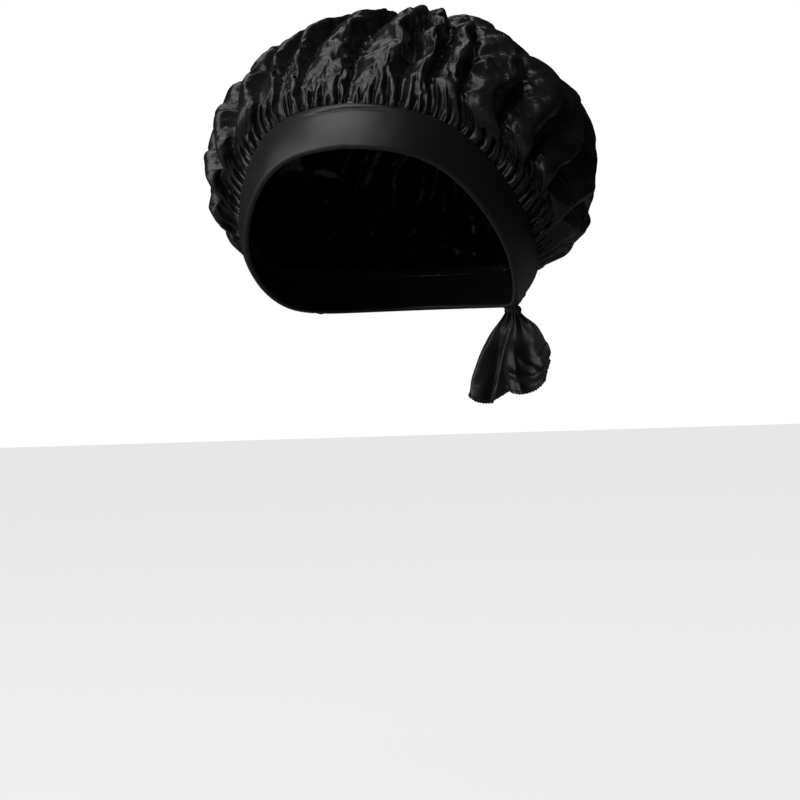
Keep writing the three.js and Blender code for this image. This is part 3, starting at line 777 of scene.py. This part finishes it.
def crumple(piece, far, valley, frames):
    """Lets the film swell a little while it is held near its place, so that it buckles as film does"""
    held = piece.vertex_groups.new(name="held")
    near_seam = np.maximum(1 - far / (18 * MM), 0)
    hold = 0.12 + 0.4 * near_seam + 0.35 * valley
    sewn = far < 0.5 * MM
    for i, grip in enumerate(np.where(sewn, 1, np.minimum(hold, 1))):
        held.add([i], float(grip), "REPLACE")
    cloth = piece.modifiers.new("Cloth", "CLOTH")
    film = cloth.settings
    film.quality = 5
    film.tension_stiffness = film.compression_stiffness = 15
    film.shear_stiffness = 5
    film.bending_stiffness = 0.02
    film.vertex_group_mass = held.name
    film.shrink_min = -0.04
    film.use_pressure = True
    film.uniform_pressure_force = 0.25
    film.effector_weights.gravity = 0
    cloth.collision_settings.use_collision = False
    cloth.point_cache.frame_start, cloth.point_cache.frame_end = 1, frames
    for step in range(1, frames + 1):
        bpy.context.scene.frame_set(step)
    shaped = piece.evaluated_get(bpy.context.evaluated_depsgraph_get()).data
    places = np.empty(len(far) * 3)
    shaped.vertices.foreach_get("co", places)
    piece.modifiers.remove(cloth)
    piece.vertex_groups.remove(held)
    piece.data.vertices.foreach_set("co", places)
    bpy.context.scene.frame_set(1)


def on_cloth(form, flat):
    """Where points of the flat disc lie

    It gives where they run among the folds, how far up, as a share and as a length, their place and normal
    on the smooth form, and their share of the way round the seam.
    """
    radius = bpy.context.scene.cap_crown.flat_radius
    share = (np.arctan2(flat[:, 0], -flat[:, 1]) / WHOLE_TURN) % 1
    climb = 1 - np.hypot(flat[:, 0], flat[:, 1]) / radius
    far = climb * form.length(share)
    base, normal = form.place(share, climb)
    return drifted(share, climb, far, base), climb, far, base, normal, share


def creases(base, wide, fine):
    """Crisp crests that cross each other at any angle, as in film that was crumpled"""
    return 0.3 - np.abs(wavy(base, wide, 6)) - 0.35 * np.abs(wavy(base, fine, 7))


def valleys_of(folds, moved, far):
    """1 in the valleys of any level of folds, 0 on all ridges"""
    return np.max([level.valley(moved, far) for level in folds], axis=0)


def raised(mesh, height):
    """Moves each point of a mesh out by its height"""
    mesh.normal_update()
    for v, tall in zip(mesh.verts, height, strict=True):
        v.co += v.normal * tall


def halved(mesh, edges):
    """Cuts edges in half, rounding the cloth as it goes"""
    bmesh.ops.subdivide_edges(mesh, edges=edges, cuts=1, smooth=0.6, use_grid_fill=True)


def tuck(mesh, form, across):
    """Sews the crown's edge on: one more row of cloth, tucked between the leaves of the band"""
    tucked = only(bmesh.types.BMVert, bmesh.ops.extrude_edge_only(mesh, edges=rim(mesh.edges))["geom"])
    turn = form.turn(on_cloth(form, layer_values(tucked, across))[5])
    low = bpy.context.scene.cap_band.width - 0.5 * MM
    move_points(tucked, band_points(turn, low, 1.7 * MM))


def creased(piece, form, folds, puckers, depth):
    """Halves the cells, draws the valleys in, creases the film, raises the puckers and tucks the edge in

    The grain attribute that it adds runs along the folds, for the material's creases.
    """
    crown = bpy.context.scene.cap_crown
    mesh = bmesh.new()
    mesh.from_mesh(piece.data)
    across = mesh.verts.layers.float_vector["flat"]
    halved(mesh, mesh.edges)
    moved, climb, far, base, _, _ = on_cloth(form, layer_values(mesh.verts, across))
    height = creases(base, 25 * MM, 12 * MM) * crown.crease_height * smoothstep(far, 8 * MM, 40 * MM)
    drawn = crown.valley_depth * (1 - 0.6 * smoothstep(far, 60 * MM, 120 * MM))
    drawn = drawn * smoothstep(1 - climb, 0.1, 0.3)
    raised(mesh, height - valleys_of(folds, moved, far) * drawn)
    reach = dict(zip(mesh.verts, far, strict=True))
    halved(mesh, [e for e in mesh.edges if max(reach[v] for v in e.verts) < depth])
    facing_out(mesh)
    moved, _, far, base, _, _ = on_cloth(form, layer_values(mesh.verts, across))
    slant = wavy(base, 10 * MM, 4) * smoothstep(far, 0, 10 * MM) * 0.005
    raised(mesh, puckers.height(moved + slant, far) * (far < depth))
    tuck(mesh, form, across)
    grain = mesh.verts.layers.float_vector.new("grain")
    circle = 105 * MM  # As far out the grain stays, so that its streaks run straight up the folds
    for v in mesh.verts:
        out = v[across].length
        turned = v[across] * (circle * smoothstep(out, -20 * MM, 70 * MM) / max(out, 1 * MM))
        v[grain] = (turned.x, turned.y, 0.4 * out)
    mesh.to_mesh(piece.data)
    mesh.free()


class PERMCAP_OT_crown(bpy.types.Operator):
    """Make the crown: a disc of film gathered on to the seam"""

    bl_idname = "permcap.crown"
    bl_label = "Crown"

    def execute(self, context):
        crown = context.scene.cap_crown
        rng = random.Random(5)
        form = CrownForm()
        swaths, lobes, gathers, puckers = crown_folds(rng)
        mesh = flat_disc(crown.flat_radius, crown.cell)
        flat = mesh_points(mesh)
        moved, climb, far, base, normal, _ = on_cloth(form, flat)
        lift = lobes.height(moved, far) * np.minimum(1.7 * (1 - climb), 1) + gathers.height(moved, far)
        lift += swaths.height(moved, climb * crown.flat_radius) * np.minimum(2.5 * (1 - climb), 1)
        deepest = -6 * MM
        lift = np.maximum(lift, deepest) - smoothstep(far, 10 * MM, 60 * MM) * crown.settle
        lift += creases(base, 34 * MM, 15 * MM) * crown.crease_height * smoothstep(far, 15 * MM, 60 * MM)
        move_points(mesh.verts, base + normal * lift[:, None])
        across = mesh.verts.layers.float_vector.new("flat")
        for v, place in zip(mesh.verts, flat, strict=True):
            v[across] = place
        piece = finished(facing_out(mesh), "gathered_crown", creased_film, "cap")
        folds = (swaths, lobes, gathers)
        crumple(piece, far, valleys_of(folds, moved, far), frames=10)
        creased(piece, form, folds, puckers, depth=26 * MM)
        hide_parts("crown")
        return {"FINISHED"}


def folded_strip(path, width, inner, outer):
    """Places across and out along a strip folded in half: down the outer leaf, round the fold, up inside.
    The third is true on the outer leaf."""
    radius = (outer - inner) / 2
    straight = width - radius
    far = path * (2 * straight + math.pi * radius)
    angle = np.clip((far - straight) / radius, 0, math.pi)
    down = np.maximum(straight - far, 0)
    up = np.maximum(far - straight - math.pi * radius, 0)
    across = radius * (1 - np.sin(angle)) + down + up
    return across, inner + radius + radius * np.cos(angle), far < straight


def strip_length(width, thickness):
    """How wide a strip is cut that folds to a width"""
    return 2 * width + (math.pi / 2 - 1) * thickness


def dent(x, place, size):
    """1 at a place, falling to 0 round it"""
    return np.exp(-(((x - place) / size) ** 2))


class PERMCAP_OT_band(bpy.types.Operator):
    """Make the front band: a padded strip folded in half over its stiffener"""

    bl_idname = "permcap.band"
    bl_label = "Front band"

    def execute(self, context):
        band = context.scene.cap_band
        length = band_length(-band.seam_turn, band.seam_turn)
        cut = (length, strip_length(band.width, band.outer_out - band.inner_out))

        def place(along, path):
            turn = band.seam_turn * (2 * along - 1)
            across, out, outside = folded_strip(path, band.width, band.inner_out, band.outer_out)
            ends = smoothstep(band.seam_turn - np.abs(turn), 0, math.radians(14))
            share = np.clip(across / band.width, 0, 1)
            swell = band.padding * (0.25 + 0.75 * ends) * np.sin(math.pi * share) ** 0.75
            # A lip along the upper edge at the brow, where the crown's cloth pulls the film up
            lip = smoothstep(turn, math.radians(-22), math.radians(-10))
            lip = lip * (1 - smoothstep(turn, math.radians(8), math.radians(20)))
            edge = band.width - 3.6 * MM + 0.5 * MM * np.sin(turn * 9)
            swell -= lip * 0.9 * MM * dent(across, edge, 0.55 * MM)
            swell += lip * 0.55 * MM * smoothstep(across, edge + 0.4 * MM, edge + 1.5 * MM)
            # One short crease beside the brow's middle
            crease = dent(turn, math.radians(-8.5), math.radians(2.4))
            slope = 6 * MM * (turn + 0.15)
            swell -= crease * 0.45 * MM * dent(across, 15 * MM + slope, 0.5 * MM)
            swell += crease * 0.2 * MM * dent(across, 13.6 * MM + slope, 1 * MM)
            points = band_points(turn, across, out)
            swell += 0.22 * MM * wavy(points, 34 * MM, 8) + 0.1 * MM * wavy(points, 9 * MM, 9)
            puckers = 1 - smoothstep(band.seam_turn - np.abs(turn), 0, math.radians(9))
            swell += puckers * 0.3 * MM * np.sin(across / (1.15 * MM))
            return lifted(points, swell * outside)

        mesh = sheet_grid(420, 72, cut, place)
        piece = finished(mesh, "folded_front_band", smooth_film, "cap", ["front_band"], band.film)

        low, high = 2 * MM, band.width - 0.8 * MM
        middle = (band.inner_out + band.outer_out) / 2

        def lay(along, path):
            turn = band.seam_turn * (2 * along - 1) * 0.995
            points = band_points(turn, low + (high - low) * path, middle)
            return lifted(points, 0.12 * MM * wavy(points, 5 * MM, 12))

        mesh = sheet_grid(260, 12, (length, high - low), lay)
        piece = finished(mesh, "stiffening_felt", pressed_felt, "cap", ["band_interlining"], 0.8 * MM)
        return {"FINISHED"}


def nape_full(turn):
    """0 at the side seams, 1 over the nape"""
    band = bpy.context.scene.cap_band
    away = math.pi - np.abs(turn - math.pi)
    return smoothstep(away - band.seam_turn, 0, math.radians(10))


def casing_reach(turn):
    """How far out the nape casing stands, with its gathers"""
    return (1.8 + (3.1 + 1.2 - 1.8) * nape_full(turn)) * MM


class PERMCAP_OT_nape(bpy.types.Operator):
    """Make the nape casing, shirred over its elastic"""

    bl_idname = "permcap.nape"
    bl_label = "Nape casing"

    def execute(self, context):
        band = context.scene.cap_band
        start = band.seam_turn + NEEDLE
        span = WHOLE_TURN - 2 * start
        length = band_length(start, start + span)
        rng = random.Random(11)
        count, endless = 46, 9
        places, tall = uneven_splits(rng, count, 0.35)[:-1], uneven(rng, count, 0.95 * MM, 0.4)
        gathers = Folds(places, tall, [endless] * count, -2, -1, 0.8)
        cut = (length * 1.25, strip_length(band.width, 3 * MM))

        def place(along, path):
            turn = start + span * along
            full = nape_full(turn)
            outer = 1.7 * MM + 1.45 * MM * full
            across, out, outside = folded_strip(path, band.width, band.inner_out, outer)
            points = band_points(turn, across, out)
            shifted = np.clip(along + 0.004 * wavy(points, 8 * MM, 14), 0, 0.9999)
            ridge = gathers.height(shifted, 0 * along) + 0.44 * MM
            soft = np.sin(math.pi * np.clip(across / band.width, 0, 1)) ** 0.35
            return lifted(points, ridge * full * (0.45 + 0.55 * soft) * outside)

        mesh = sheet_grid(520, 40, cut, place)
        piece = finished(mesh, "shirred_nape_casing", smooth_film, "cap", ["nape_casing"], 0.3 * MM)

        width, inset = 17 * MM, 10

        def lay(along, path):
            turn = start + math.radians(inset) + (span - math.radians(2 * inset)) * along
            ribs = 0.12 * MM * np.cos(path * 2 * math.pi * 8)
            return band_points(turn, (band.width - width) / 2 + width * path, 1.7 * MM + ribs)

        cut = (length * 0.87, width)
        mesh = sheet_grid(240, 32, cut, lay)
        piece = finished(mesh, "ribbed_elastic", ribbed_elastic, "cap", ["nape_elastic"], 0.8 * MM)
        return {"FINISHED"}


def band_length(first, last):
    """The band's length between two turns round the head"""
    turn = np.linspace(first, last, 400)
    return float(np.linalg.norm(np.diff(band_points(turn, 12 * MM, 2 * MM), axis=0), axis=1).sum())


class Knot:
    """The knot's own frame: x forwards along the band, y out from the head, z up across the band"""

    def __init__(self):
        strap = bpy.context.scene.cap_straps
        turn, across = strap.knot_turn, strap.knot_height
        self.out = float(casing_reach(turn)) + 0.6 * MM + strap.wrap_thickness + strap.knot_half_thickness
        self.centre = band_points(turn, across, self.out)
        step = math.radians(1)
        before, after = (band_points(turn + side * step, across, self.out) for side in (-1, 1))
        self.x = unit(before - after)
        outward = unit(self.centre - band_points(turn, across, 0))
        self.z = unit(np.cross(self.x, outward))
        self.y = np.cross(self.z, self.x)
        small = math.radians(0.5)
        chord = band_points(turn + small, 0, self.out) - band_points(turn - small, 0, self.out)
        self.end_turn = (strap.knot_half_length + 0.3 * MM) * 2 * small / float(np.linalg.norm(chord))

    def place(self, points):
        return self.centre + points @ np.stack([self.x, self.y, self.z])


class PERMCAP_OT_straps(bpy.types.Operator):
    """Make the two tie straps, pleated towards the knot"""

    bl_idname = "permcap.straps"
    bl_label = "Tie straps"

    def execute(self, context):
        strap = context.scene.cap_straps
        band = context.scene.cap_band
        knot = Knot()
        start = band.seam_turn + NEEDLE
        for name, node, seam, end, seed in (
            ("left_pleated_tie", "left_tie_strap", start, strap.knot_turn - knot.end_turn, 3),
            ("right_pleated_tie", "right_tie_strap", WHOLE_TURN - start,
             strap.knot_turn + knot.end_turn, 7),
        ):
            span = abs(end - seam)
            length = band_length(min(seam, end), max(seam, end))
            cut = (length, strap.width_at_seam)

            def place(along, path, seam=seam, end=end, span=span, seed=seed):
                turn = seam + (end - seam) * along
                gone = np.abs(turn - seam)
                narrow = smoothstep(gone, 0, strap.narrow_turn)
                tight = 1 - smoothstep(span - gone, 0, strap.narrow_turn / 2)
                width = strap.width_at_seam + (strap.width_at_nape - strap.width_at_seam) * narrow
                width = width + (strap.width_at_knot - width) * tight
                climb = smoothstep(gone / span, 0, 1)
                middle = band.width / 2 + (strap.knot_height - band.width / 2) * climb
                thick = strap.thin + (strap.thick - strap.thin) * tight
                lie = casing_reach(turn) + 0.3 * MM
                inside = lie + (knot.out - thick / 2 - lie) * tight
                low = np.maximum(middle - width / 2, 0.3 * MM)
                slip = path + 0.02 * np.sin(path * 2 * math.pi + seed) * narrow
                across = low + width * slip + 0.35 * MM * narrow * np.sin(path * 29 + seed)
                pleat = strap.pleats * (path + 0.05 * np.sin(7 * path + 2 * along + seed))
                wave = 0.5 - 0.5 * np.cos(2 * math.pi * pleat + 1.6 * np.sin(4 * along + seed))
                wave = wave ** (1 + 0.3 * narrow) * (0.65 + 0.35 * np.sin(9 * path + 5 * along + seed))
                rounded = 1 - np.abs(2 * path - 1) ** 3
                ridge = (0.12 * thick + 0.9 * MM * narrow) * wave * rounded
                rise = thick * (0.3 + 0.4 * tight * rounded) + ridge
                points = band_points(turn, across, inside + rise)
                ripple = 0.16 * MM * wavy(points, 5 * MM, seed) * (0.3 + 0.7 * narrow)
                return lifted(points, ripple)

            cell = 0.7 * MM
            mesh = sheet_grid(int(length / cell), 64, cut, place)
            piece = finished(mesh, name, smooth_film, "cap", [node], 0.35 * MM)
        return {"FINISHED"}


class PERMCAP_OT_knot(bpy.types.Operator):
    """Make the knot: a pleated core and the turn of cloth pulled over it"""

    bl_idname = "permcap.knot"
    bl_label = "Knot"

    def execute(self, context):
        strap = context.scene.cap_straps
        knot = Knot()
        tail = both_tails()[0]

        def pleated(full, angle, along, count, depth):
            """How far out a ball's points lie once its ends are drawn in to pleats"""
            return 1 - depth * (0.5 + 0.5 * np.cos(count * angle + along)) * smoothstep(full, 0, 0.5)

        def core(ball):
            angle = np.arctan2(ball[:, 2], ball[:, 1])
            lie = np.arcsin(np.clip(ball[:, 0], -1, 1)) / (math.pi / 2)
            full = (1 - np.abs(lie) ** 5) ** 0.5 * (0.78 + 0.22 * (1 - smoothstep(np.abs(lie), 0.3, 0.95)))
            pleat = pleated(full, angle, 1.2 * lie, 9, 0.1)
            return knot.place(np.stack([
                strap.knot_half_length * np.sign(lie) * np.abs(lie) ** 0.9,
                strap.knot_half_thickness * full * pleat * np.cos(angle),
                strap.knot_half_height * full * pleat * np.sin(angle),
            ], -1))

        def throat(ball):
            angle = np.arctan2(ball[:, 1], ball[:, 0])
            level = np.arcsin(np.clip(ball[:, 2], -1, 1)) / (math.pi / 2)
            down = 0.5 - 0.5 * level
            full = (1 - np.abs(level) ** 3) ** 0.6
            pleat = pleated(full, angle, 2 * level, 11, 0.2)
            x = (4.6 * MM + 1.2 * MM * smoothstep(down, 0, 1)) * full * pleat * np.cos(angle)
            y = (2.9 * MM - 0.8 * MM * smoothstep(down, 0, 1)) * full * pleat * np.sin(angle)
            points = knot.centre + x[:, None] * tail.x + y[:, None] * tail.y
            points[:, 2] += -3.8 * MM - 5.3 * MM * down
            return points

        mesh = pulled_ball(72, 36, Matrix.Rotation(math.pi / 2, 4, "Y"), core)
        piece = finished(mesh, "pleated_knot_core", smooth_film, "cap", ["knot_core"])

        mesh = pulled_ball(96, 32, Matrix.Identity(4), throat)
        piece = finished(mesh, "gathered_knot_throat", smooth_film, "cap")

        half_height, half_thickness = strap.knot_half_height, strap.knot_half_thickness
        girth = WHOLE_TURN * math.hypot(half_height, half_thickness) / math.sqrt(2)
        cut = (girth + 6 * MM, strap.wrap_width * 1.5)

        def place(along, path):
            angle = 2 * math.pi * along
            side = 2 * path - 1
            crowned = 0.92 - 1.25 * np.abs(side) ** 3
            tuck = 0.12 * np.sin(WHOLE_TURN * path * 3.5 + 0.7 * np.sin(angle)) * (1 - side**4)
            lift = 0.3 * MM + strap.wrap_thickness * (crowned + tuck)
            slim = 1 - 0.14 * np.cos(angle) - 0.06 * np.sin(2 * angle)
            x = strap.wrap_width / 2 * side * slim + strap.wrap_skew * np.sin(angle)
            oval = np.stack([half_thickness * np.cos(angle), half_height * np.sin(angle)], -1)
            out = unit(np.stack([np.cos(angle) / half_thickness, np.sin(angle) / half_height], -1))
            yz = oval + out * lift[:, None]
            return knot.place(np.stack([x, yz[:, 0], yz[:, 1]], -1))

        mesh = sheet_grid(110, 44, cut, place, closed=True)
        piece = finished(mesh, "knot_turn_of_cloth", smooth_film, "cap", ["knot_wrap"], 0.35 * MM)
        return {"FINISHED"}


class Tail:
    """One tail in its own frame: x along the axis that it swings on, y towards the head, z up.

    Its side is 1 or -1 along that axis, its lean is how far its end lies that way, and its rises are how
    much shorter it is at its two corners.
    """

    def __init__(self, name, side, length, half_width, lean, rises):
        tails = bpy.context.scene.cap_tails
        strap = bpy.context.scene.cap_straps
        knot = Knot()
        self.name, self.side, self.length, self.half_width = name, side, length, half_width
        self.lean, self.rises = lean, rises
        drop = strap.knot_half_height + strap.wrap_thickness + 0.6 * MM + tails.root_radius
        yaw = math.atan2(knot.x[1], knot.x[0]) + tails.axis_yaw
        self.x = np.array([math.cos(yaw), math.sin(yaw), 0])
        self.y = np.array([-math.sin(yaw), math.cos(yaw), 0])
        self.root = knot.centre - np.array([0, 0, drop]) + self.x * side * tails.spacing / 2

    def surface(self, u, down):
        """u runs from -1 to 1 across, down from 0 at the root to 1 at the end."""
        tails = bpy.context.scene.cap_tails
        down = np.maximum(down, 0)
        fuller = (1 - (1 - np.minimum(down, 1)) ** 2.1) * (1 - 0.1 * smoothstep(down, 0.7, 1) ** 2)
        half = tails.root_half_width + (self.half_width - tails.root_half_width) * fuller
        pinch = 1 - smoothstep(down, -0.1, 0.3)
        x = u * half * (1 - 0.35 * pinch) + self.lean * down - self.side * 1.5 * MM * pinch
        inner, outer = self.rises
        rise = inner * np.clip(-0.2 - u, 0, 1) ** 2 + outer * np.clip((u + 0.4) / 1.4, 0, 1) ** 2.2
        drop = self.length * down - rise * down
        return x, self.folds(u, down), drop

    def folds(self, u, down):
        """How far the tail lies towards the head: wide folds, creases, and the bunch that the knot makes"""
        tails = bpy.context.scene.cap_tails
        bunch = (1 - smoothstep(down, 0.02, 0.42)) ** 1.5 * tails.root_radius * 0.75
        above = (1 - down) * self.length
        if self.side > 0:
            y = tails.fold_depth * smoothstep(down, 0, 0.6) * np.sin(math.pi * 1.25 * u + 0.5)
            y -= 3 * MM * smoothstep(down, 0.1, 0.7) + 3 * MM * smoothstep(down, 0.55, 1.1)
            y -= 1.5 * MM * dent(above, 8 * MM - 5 * MM * u, 2.2 * MM) * smoothstep(u, -0.9, -0.5)
            y -= 1.2 * MM * dent(down - 0.62, 0.42 * (u + 0.1), 0.05) * smoothstep(u, -0.45, -0.1)
            y += 0.9 * MM * smoothstep(down, 0.6, 0.63) * smoothstep(u, 0.3, 0.5)
            y -= 1.0 * MM * dent(u, -0.55 + 0.3 * down, 0.07) * smoothstep(down, 0.3, 0.6)
            return y + bunch * np.sin(math.pi * (2.5 * u + 0.6 * u**3) + 1 + 2 * down)
        y = tails.fold_depth * smoothstep(down, 0, 0.6) * np.sin(math.pi * 1.7 * u + 2.6)
        y += 0.8 * MM * np.sin(math.pi * 3.1 * u + 3 * down) * smoothstep(down, 0.2, 0.8)
        return y + bunch * np.sin(math.pi * (2.4 * u - 0.6 * u**3) + 5.2 + 2 * down)

    def place(self, u, down):
        x, y, drop = self.surface(u, down)
        drop = np.where(down < 0, self.length * down, drop)
        points = self.root + x[:, None] * self.x + y[:, None] * self.y
        points[:, 2] -= drop
        return points


def both_tails():
    return (
        Tail("outer_tail", 1, 44 * MM, 16 * MM, 8.4 * MM, (6 * MM, 18 * MM)),
        Tail("inner_tail", -1, 49 * MM, 13 * MM, -13 * MM, (7 * MM, 8 * MM)),
    )


class PERMCAP_OT_tails(bpy.types.Operator):
    """Make the two tails and the overlocking along their ends"""

    bl_idname = "permcap.tails"
    bl_label = "Tails"

    def execute(self, context):
        tails = context.scene.cap_tails
        for tail in both_tails():
            name = tail.name
            cut = (2.5 * tail.half_width, tail.length)

            def place(along, path, tail=tail):
                u, down = 2 * along - 1, 1.03 * path - 0.03
                points = tail.place(u, down)
                ripple = wavy(points, 7 * MM, 21 + tail.side) * 0.5 * MM * smoothstep(down, 0.05, 0.3)
                crumples = np.abs(wavy(points, 11 * MM, 30 + tail.side))
                ripple += crumples * 0.9 * MM * smoothstep(down, 0.2, 0.5)
                return points + tail.y * ripple[:, None]

            mesh = sheet_grid(88, 112, cut, place)
            piece = finished(mesh, name.replace("_", "_hanging_"), smooth_film, name, [name], tails.film)
            along = (np.linspace(-1, 1, 120) + 1) / 2
            edge = place(along, np.ones_like(along))
            inward = place(along, np.full_like(along, 0.95)) - edge
            outward = np.cross(np.gradient(edge, axis=0), inward)
            outward = -unit(outward) * np.sign(outward @ tail.y)[:, None]
            mesh = overlocking(edge, inward, outward, 2.2 * MM, tails.film)
            piece = finished(mesh, f"{name}_overlocking", sewing_thread, name, [f"{name}_overlock"])
        return {"FINISHED"}


class PERMCAP_OT_seams(bpy.types.Operator):
    """Make the crown's overlocked seam allowance and the stitches across the side seams"""

    bl_idname = "permcap.seams"
    bl_label = "Seams"

    def execute(self, context):
        band = context.scene.cap_band
        low, high = band.width + SEAM_LIFT, band.width + 6 * MM
        inner, outer = 0.5 * MM, 1.3 * MM

        def waved(turn):
            return 0.25 * MM * np.sin(170 * turn + 2 * np.sin(5 * turn))

        def place(along, path):
            turn = WHOLE_TURN * along
            from_fold, out, _ = folded_strip(path, high - low, inner, outer)
            return band_points(turn, high - from_fold, out + waved(turn) * (1 - from_fold / (high - low)))

        cut = (band_length(0, WHOLE_TURN) * 1.1, strip_length(high - low, outer - inner))
        mesh = sheet_grid(1020, 12, cut, place, closed=True)
        piece = finished(mesh, "seam_allowance", creased_film, "cap", ["crown_seam_overlock"], 0.25 * MM)
        turn = np.linspace(0, WHOLE_TURN, 1021)
        middle = (inner + outer) / 2
        edge = band_points(turn, high, middle + waved(turn))
        inward = band_points(turn, low, middle) - edge
        mesh = overlocking(edge, inward, head_normals(edge), 3.4 * MM, 1.1 * MM, closed=True)
        piece = finished(mesh, "seam_overlocking", sewing_thread, "cap")
        for side, turn in (("left", band.seam_turn), ("right", -band.seam_turn)):
            mesh = bmesh.new()
            places = np.linspace(3 * MM, band.width - 3 * MM, 120)
            sway = np.radians(0.4) * np.arcsin(np.sin(places / (0.75 * MM))) / (math.pi / 2)
            row = band_points(turn + sway, places, band.outer_out + 0.35 * MM)
            thread(mesh, row, 0.22 * MM, head_normals(row))
            nodes = [f"{side}_side_seam_stitches"]
            piece = finished(closed_threads(mesh), f"{side}_side_seam_zigzag", sewing_thread, "cap", nodes)
        return {"FINISHED"}


def white_floor():
    """White to the camera, with a little of the shadow that falls on it"""
    material, shader, nodes = shaded("white_floor", (0.8, 0.8, 0.8), 0.9)
    to_camera = nodes.add("LightPath").outputs["Is Camera Ray"]
    nodes.feed(shader, Base_Color=nodes.ranged(to_camera, 0.2, 0.8))
    glow = nodes.add("Emission", Color=(1, 1, 1, 1), Strength=0.93).outputs["Emission"]
    share = nodes.ranged(to_camera, 0, 0.85)
    mix = nodes.add("MixShader", share, shader.outputs["BSDF"], glow).outputs["Shader"]
    nodes.feed(material.node_tree.nodes["Material Output"], Surface=mix)
    return material


def dim_world():
    """White to the camera, and dim to the light that falls on the cap"""
    world = bpy.data.worlds.new("studio")
    world.use_nodes = True
    nodes = Nodes(world.node_tree)
    rays = nodes.add("LightPath").outputs
    most = nodes.sum("Math", "MAXIMUM", rays["Is Camera Ray"], rays["Is Transmission Ray"])
    background = world.node_tree.nodes["Background"]
    nodes.feed(background, Color=(1, 1, 1, 1), Strength=nodes.ranged(most, 0.015, 1))
    return world


# How the photograph was taken, found by fitting the cap to it
VIEW_DISTANCE = 2.8
VIEW_TURN = math.radians(15.02)
VIEW_LIFT = math.radians(0.59)
VIEW_ROLL = math.radians(2.44)
MM_PER_PIXEL = 0.532
PICTURE = 800
MIDDLE = (395.93, 248.34)  # Where the frame's origin lies in the picture
SENSOR = 36
LAMPS = (  # Name, place, size and power
    ("key", (-0.72, -1.62, 1.22), 2.4, 27),
    ("top", (-0.7, -0.8, 1.9), 1.8, 15),
    ("side", (-2.1, -1.1, -0.1), 2.2, 26),
    ("back", (-0.7, 0.8, 1.6), 1.2, 5),
)
LAMPS_AIM = (0, 0, 0.03)
FLOOR_LEVEL = -0.29


class PERMCAP_OT_stage(bpy.types.Operator):
    """Set the camera, the lamps, the floor and the backdrop"""

    bl_idname = "permcap.stage"
    bl_label = "Stage"

    def execute(self, context):
        scene = context.scene
        turn, lift, roll, away = VIEW_TURN, VIEW_LIFT, VIEW_ROLL, VIEW_DISTANCE
        data = bpy.data.cameras.new("camera")
        data.sensor_width = SENSOR
        data.lens = SENSOR * away / (PICTURE * MM_PER_PIXEL * MM)
        data.shift_x = (PICTURE / 2 - MIDDLE[0]) / PICTURE
        data.shift_y = (MIDDLE[1] - PICTURE / 2) / PICTURE
        camera = placed("camera", data)
        right = Vector((math.cos(turn), math.sin(turn), 0))
        ahead = Vector((-math.sin(turn) * math.cos(lift), math.cos(turn) * math.cos(lift), -math.sin(lift)))
        up = right.cross(ahead)
        rolled_right = right * math.cos(roll) - up * math.sin(roll)
        rolled_up = right * math.sin(roll) + up * math.cos(roll)
        camera.matrix_world = Matrix((
            (rolled_right.x, rolled_up.x, -ahead.x, -ahead.x * away),
            (rolled_right.y, rolled_up.y, -ahead.y, -ahead.y * away),
            (rolled_right.z, rolled_up.z, -ahead.z, -ahead.z * away),
            (0, 0, 0, 1),
        ))
        scene.camera = camera
        scene.view_settings.view_transform = "Standard"
        scene.world = dim_world()
        for name, place, size, power in LAMPS:
            lamp = bpy.data.lights.new(name, "AREA")
            lamp.shape, lamp.size, lamp.energy = "SQUARE", size, power
            thing = placed(name, lamp)
            thing.location = place
            thing.rotation_euler = (Vector(LAMPS_AIM) - Vector(place)).to_track_quat("-Z", "Y").to_euler()
        mesh = bmesh.new()
        bmesh.ops.create_grid(mesh, x_segments=1, y_segments=1, size=4)
        bmesh.ops.translate(mesh, verts=mesh.verts, vec=(0, 0, FLOOR_LEVEL))
        data = bpy.data.meshes.new("floor")
        mesh.to_mesh(data)
        mesh.free()
        data.materials.append(white_floor())
        floor = placed("floor", data)
        return {"FINISHED"}


class PERMCAP_PT_pieces(bpy.types.Panel):
    """The steps that make the cap, and its sizes and colours"""

    bl_label = "Perm cap"
    bl_idname = "PERMCAP_PT_pieces"
    bl_space_type = "VIEW_3D"
    bl_region_type = "UI"
    bl_category = "Perm Cap"

    def draw(self, context):
        layout = self.layout
        for step in STEPS:
            layout.operator(step.bl_idname)
        for holder in GROUPS:
            box = layout.box()
            group = getattr(context.scene, holder)
            for key in GROUPS[holder].__annotations__:
                box.prop(group, key)


GROUPS = {
    "cap_head": HeadSizes,
    "cap_band": BandSizes,
    "cap_straps": StrapSizes,
    "cap_tails": TailSizes,
    "cap_crown": CrownSizes,
    "cap_looks": Looks,
}
STEPS = [
    PERMCAP_OT_crown,
    PERMCAP_OT_band,
    PERMCAP_OT_nape,
    PERMCAP_OT_straps,
    PERMCAP_OT_knot,
    PERMCAP_OT_tails,
    PERMCAP_OT_seams,
    PERMCAP_OT_stage,
]


def register():
    for cls in (*GROUPS.values(), *STEPS, PERMCAP_PT_pieces):
        bpy.utils.register_class(cls)
    for holder, cls in GROUPS.items():
        setattr(bpy.types.Scene, holder, bpy.props.PointerProperty(type=cls))


def unregister():
    for holder in GROUPS:
        delattr(bpy.types.Scene, holder)
    for cls in (PERMCAP_PT_pieces, *reversed(STEPS), *reversed(GROUPS.values())):
        bpy.utils.unregister_class(cls)


def main():
    register()
    bpy.ops.permcap.crown()
    bpy.ops.permcap.band()
    bpy.ops.permcap.nape()
    bpy.ops.permcap.straps()
    bpy.ops.permcap.knot()
    bpy.ops.permcap.tails()
    bpy.ops.permcap.seams()
    bpy.ops.permcap.stage()


if __name__ == "__main__":
    main()
